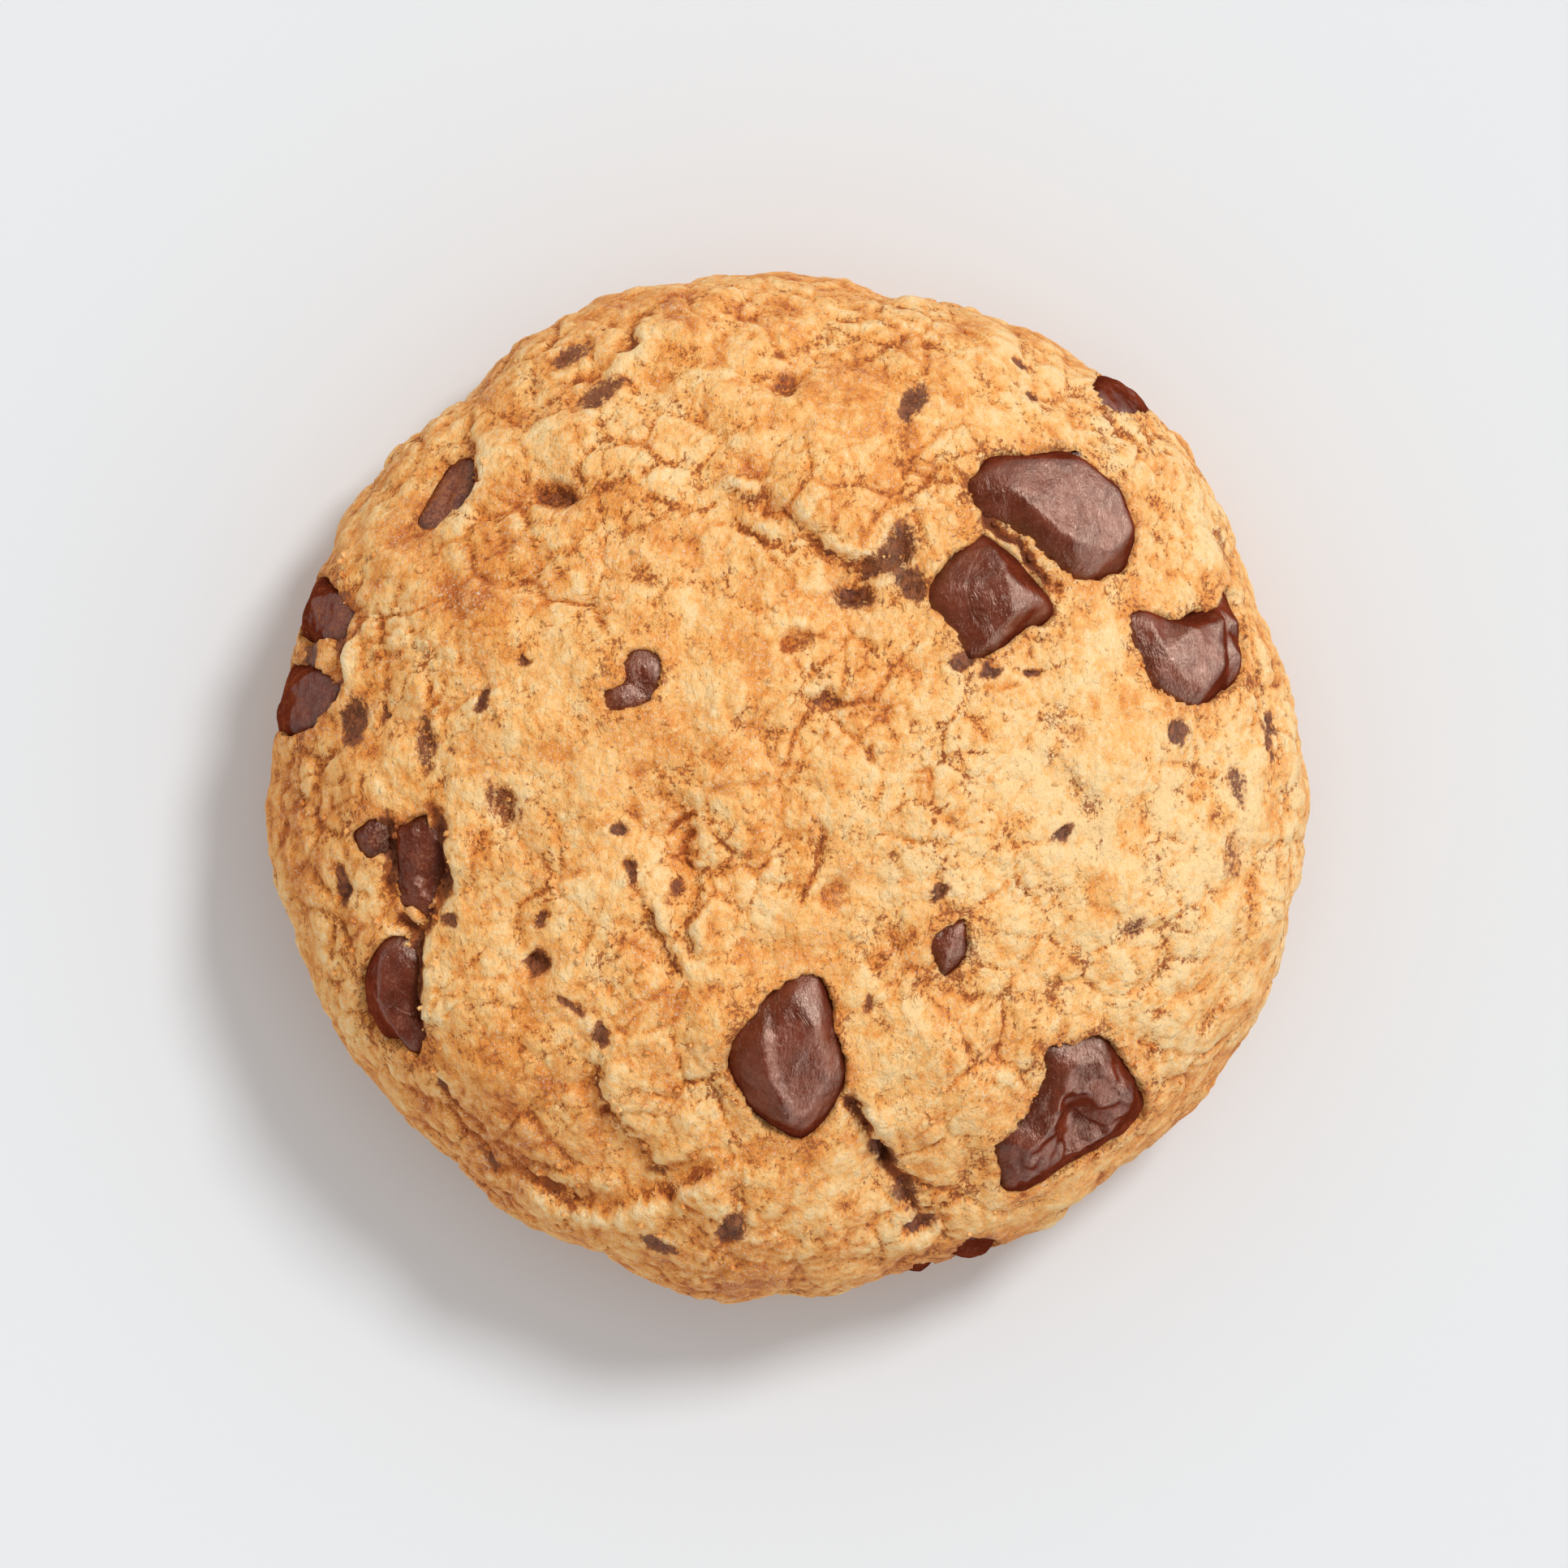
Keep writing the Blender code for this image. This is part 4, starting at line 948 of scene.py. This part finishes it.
class Nodes:
    """A short way to write a material's nodes."""

    def __init__(self, name):
        self.material = bpy.data.materials.new(name)
        self.material.use_nodes = True
        self.tree = self.material.node_tree
        self.shader = self.tree.nodes["Principled BSDF"]
        self.place = self.tree.nodes.new("ShaderNodeTexCoord").outputs["Object"]

    def add(self, kind, values=(), **settings):
        """A node with its settings. Values are sockets to join or numbers to set, by input."""
        node = self.tree.nodes.new("ShaderNode" + kind)
        for key, value in settings.items():
            setattr(node, key, value)
        for key, value in dict(values).items():
            self.put(node.inputs[key], value)
        return node

    def stretch(self, times, degrees):
        """Draw out the patterns that follow along Y, turned by degrees."""
        node = self.add("Mapping", {"Vector": self.place, "Rotation": (0, 0, math.radians(degrees)),
                                    "Scale": (1, 1 / times, 1)})
        self.place = node.outputs["Vector"]

    def put(self, socket, value):
        """Join a socket to an input, or set its value."""
        if isinstance(value, bpy.types.NodeSocket):
            self.tree.links.new(value, socket)
        else:
            socket.default_value = value

    def mark(self, name):
        """A named value at the mesh's points."""
        return self.add("Attribute", attribute_name=name).outputs["Fac"]

    def noise(self, size, detail=2.0, roughness=0.5, distortion=0.0):
        """Noise with features of a size in millimetres."""
        node = self.add("TexNoise", {"Vector": self.place, "Scale": 1 / (size * MM), "Detail": detail,
                                     "Roughness": roughness, "Distortion": distortion})
        return node.outputs["Fac"]

    def grains(self, size, spread):
        """Rounded grains of a size in millimetres, 1 at their tops."""
        shift = self.add("TexNoise", {"Vector": self.place, "Scale": 1 / (size * MM), "Detail": 2.0})
        push = self.add("VectorMath", {0: shift.outputs["Color"], 1: (spread * size * MM,) * 3},
                        operation="MULTIPLY")
        moved = self.add("VectorMath", {0: self.place, 1: push.outputs[0]}, operation="ADD").outputs[0]
        node = self.add("TexVoronoi", {"Vector": moved, "Scale": 1 / (size * MM), "Smoothness": 0.35},
                        feature="SMOOTH_F1")
        upside = self.add("Math", {0: node.outputs["Distance"], 1: -1.0, 2: 1.0}, operation="MULTIPLY_ADD")
        return upside.outputs[0]

    def sum(self, *terms):
        """The sum of values, each given as (value, factor)."""
        total = None
        for value, factor in terms:
            if total is None:
                total = self.add("Math", {0: value, 1: factor}, operation="MULTIPLY").outputs[0]
            else:
                inputs = {0: value, 1: factor, 2: total}
                total = self.add("Math", inputs, operation="MULTIPLY_ADD").outputs[0]
        return total

    def ridge(self, value):
        """A value that is 1 along the lines where noise is at its middle, and falls off beside them."""
        away = self.add("Math", {0: value, 1: 0.5}, operation="SUBTRACT").outputs[0]
        size = self.add("Math", {0: away}, operation="ABSOLUTE").outputs[0]
        return self.add("Math", {0: size, 1: -4.0, 2: 1.0}, operation="MULTIPLY_ADD").outputs[0]

    def step(self, value, low, high):
        """A smooth step from 0 at low to 1 at high."""
        node = self.add("MapRange", {"Value": value, "From Min": low, "From Max": high},
                        interpolation_type="SMOOTHSTEP")
        return node.outputs["Result"]

    def times(self, first, second):
        """The product of two values."""
        return self.add("Math", {0: first, 1: second}, operation="MULTIPLY").outputs[0]

    def mix(self, part, first, second):
        """A colour between two, by part."""
        node = self.add("Mix", data_type="RGBA")
        self.put(node.inputs[0], part)
        self.put(node.inputs[6], first)
        self.put(node.inputs[7], second)
        return node.outputs[2]

    def bump(self, height, distance, strength=1.0, normal=None):
        """A fine bump of a height in millimetres."""
        values = {"Height": height, "Distance": distance * MM, "Strength": strength}
        if normal is not None:
            values["Normal"] = normal
        return self.add("Bump", values).outputs["Normal"]


def dough_material():
    """Baked dough: pale crumb, golden clouds, toasted patches, brown veins and specks, chocolate, with
    painted shade in hollows, pores and cracks, and painted light and shade from some patches.
    """
    nodes = Nodes("baked_dough_look")
    clouds, cluster = (nodes.noise(*DOUGH_NOISE[name]) for name in ("clouds", "clusters"))
    nodes.stretch(DOUGH_STRETCH, DOUGH_TURN)
    blots, grit, specks, powder, vein_field = (
        nodes.noise(*DOUGH_NOISE[name]) for name in ("blots", "grit", "specks", "powder", "veins"))
    toast_and_painted_light, shaded_hollow, shaded_pore, shaded_crack = (nodes.mark(name) for name in ("toast_and_painted_light", "shaded_hollow", "shaded_pore", "shaded_crack"))
    cocoa_and_gap_shadow, lip, low = (nodes.mark(name) for name in ("cocoa_and_gap_shadow", "lip", "low"))

    # The tone, and with it a browner colour, rises in hollows and pores as painted shade.
    tone = nodes.sum((clouds, 0.40), (blots, 0.48), (grit, 0.22), (powder, 0.3), (toast_and_painted_light, 0.07), (low, 0.07),
                     (shaded_hollow, 0.09), (shaded_pore, 0.35), (lip, 0.05))
    colour = nodes.mix(nodes.step(tone, 0.59, 0.69), seen("pale"), seen("golden"))
    colour = nodes.mix(nodes.step(tone, 0.68, 0.78), colour, seen("toasted"))
    colour = nodes.mix(nodes.step(tone, 0.77, 0.89), colour, seen("browned"))
    clusters = nodes.step(cluster, 0.42, 0.62)
    floury = nodes.step(nodes.sum((powder, 1.0), (clusters, -0.05), (shaded_pore, -0.4)), 0.54, 0.62)
    colour = nodes.mix(nodes.times(floury, 0.6), colour, seen("flour"))

    # Veins and specks crowd into hollows, pores and cracks as painted shade there, and round the chips.
    density = nodes.sum((clusters, 0.36), (shaded_hollow, 0.4), (shaded_pore, 1.2), (shaded_crack, 0.5), (lip, 0.25))
    veins = nodes.step(nodes.sum((nodes.ridge(vein_field), 1.0), (density, 0.26)), 1.02, 1.12)
    colour = nodes.mix(nodes.times(veins, 0.8), colour, seen("vein"))
    speckled = nodes.step(nodes.sum((specks, 1.0), (density, 0.3)), 0.68, 0.84)
    colour = nodes.mix(nodes.times(speckled, 0.9), colour, seen("speck"))
    # Painted shade along cracks, ledge feet and creases, broken up by noise; partly the crust's own brown.
    split = nodes.step(nodes.sum((shaded_crack, 0.6), (grit, 1.4), (blots, 0.5)), 1.38, 1.72)
    colour = nodes.mix(nodes.times(split, 0.8), colour, seen("shaded_crack"))

    broken = nodes.sum((cocoa_and_gap_shadow, 1.0), (grit, 1.3), (specks, 0.5), (powder, 0.5))
    stained = nodes.step(broken, 1.72, 1.92)
    cocoa_colour = nodes.mix(nodes.step(grit, 0.42, 0.62), seen("cocoa_dark"), seen("cocoa_light"))
    colour = nodes.mix(nodes.times(nodes.step(broken, 1.5, 1.8), 0.5), colour, seen("stain"))
    colour = nodes.mix(nodes.times(stained, 0.92), colour, cocoa_colour)
    nodes.put(nodes.shader.inputs["Base Color"], colour)
    nodes.put(nodes.shader.inputs["Roughness"], nodes.sum((stained, -0.35), (grit, 0.1), (1.0, 0.75)))
    nodes.shader.inputs["Specular IOR Level"].default_value = 0.3

    size, push, height = GRAIN_BUMP
    coarse = nodes.bump(nodes.grains(size, push), height)
    fine = nodes.bump(specks, SPECK_BUMP, normal=coarse)
    nodes.put(nodes.shader.inputs["Normal"], nodes.bump(powder, POWDER_BUMP, normal=fine))
    return nodes.material


def chocolate_material():
    """Satin dark chocolate with fine wrinkles, and painted shade round its rim."""
    nodes = Nodes("chocolate_look")
    clouds, dust = (nodes.noise(*CHOCOLATE_NOISE[name]) for name in ("clouds", "dust"))
    nodes.stretch(CREASE_STRETCH, CREASE_TURN)
    creases, fine = (nodes.noise(*CHOCOLATE_NOISE[name]) for name in ("creases", "fine"))
    colour = nodes.mix(nodes.step(clouds, 0.35, 0.65), seen("chocolate_dark"), seen("chocolate_light"))
    colour = nodes.mix(nodes.times(nodes.step(dust, 0.5, 0.7), 0.3), colour, seen("bloom"))
    crumbs = nodes.step(nodes.sum((nodes.mark("dusted"), 0.45), (clouds, 0.5), (dust, 0.9)), 0.9, 1.1)
    colour = nodes.mix(nodes.times(crumbs, 0.8), colour, seen("crumbs"))
    # Painted shade round the chip's rim, where it goes under the dough.
    colour = nodes.mix(nodes.times(nodes.mark("rim"), 0.55), colour, seen("rim"))
    nodes.put(nodes.shader.inputs["Base Color"], colour)
    roughness = nodes.sum((clouds, 0.2), (fine, 0.2), (crumbs, 0.5), (1.0, 0.04))
    nodes.put(nodes.shader.inputs["Roughness"], roughness)
    facing = nodes.add("LayerWeight", {"Blend": 0.5}).outputs["Facing"]
    gloss = nodes.times(nodes.step(facing, 0.55, 0.22), CHIP_GLOSS)
    nodes.put(nodes.shader.inputs["Specular IOR Level"], gloss)
    nodes.shader.inputs["Specular Tint"].default_value = seen("sheen")
    wrinkled = nodes.bump(creases, CREASE_BUMP)
    nodes.put(nodes.shader.inputs["Normal"], nodes.bump(fine, FINE_BUMP, normal=wrinkled))
    return nodes.material


def floor_material():
    """Plain pale floor."""
    nodes = Nodes("floor_look")
    nodes.shader.inputs["Base Color"].default_value = FLOOR_TONE
    nodes.shader.inputs["Roughness"].default_value = 0.9
    return nodes.material


def make_floor():
    """A wide plain floor."""
    half = FLOOR_SIZE / MM / 2
    corners = np.array([(-half, -half, 0), (half, -half, 0), (half, half, 0), (-half, half, 0)], float)
    floor = new_piece("floor", corners, [(0, 1, 2, 3)], floor_material())


def make_camera():
    """A camera straight above, with the far edge of the cookie at the top of the frame."""
    lens = bpy.data.cameras.new("camera")
    lens.sensor_width = SENSOR
    lens.lens = SENSOR * (CAMERA_HEIGHT - WAIST_HEIGHT * MM) / FRAME_WIDTH
    lens.clip_end = CAMERA_REACH
    camera = bpy.data.objects.new("camera", lens)
    camera.location = (FRAME_CENTRE_X, 0, CAMERA_HEIGHT)
    bpy.context.scene.collection.objects.link(camera)
    bpy.context.scene.camera = camera


def make_sun(name, heading, height, power, spread):
    """A distant light from a heading and a height in degrees."""
    sun = bpy.data.lights.new(name, "SUN")
    sun.energy = power
    sun.angle = math.radians(spread)
    lamp = bpy.data.objects.new(name, sun)
    lamp.rotation_euler = (0, math.radians(90 - height), math.radians(heading))
    bpy.context.scene.collection.objects.link(lamp)
    return lamp


def make_lights():
    """A soft key light from the upper right, an even pale sky, and cards for sheen."""
    make_sun("key", KEY_HEADING, KEY_HEIGHT, KEY_POWER, KEY_SPREAD)
    for number, (heading, height, power) in enumerate(CARDS):
        card = make_sun(f"card_{number}", heading, height, power, CARD_SPREAD)
        card.visible_diffuse = False
    world = bpy.data.worlds.new("sky")
    world.use_nodes = True
    world.node_tree.nodes["Background"].inputs["Color"].default_value = (1, 1, 1, 1)
    world.node_tree.nodes["Background"].inputs["Strength"].default_value = SKY
    bpy.context.scene.world = world
    world.cycles_visibility.glossy = False
    bpy.context.scene.view_settings.view_transform = "Standard"


noise.seed_set(RAGGED_SEED)
make_camera()
make_lights()
make_floor()
dough = dough_material()
make_crumbs(*make_dough(dough), dough)
chocolate = chocolate_material()
for chip_name, chip_sizes in CHIPS.items():
    make_chip(chip_name, chip_sizes, chocolate)
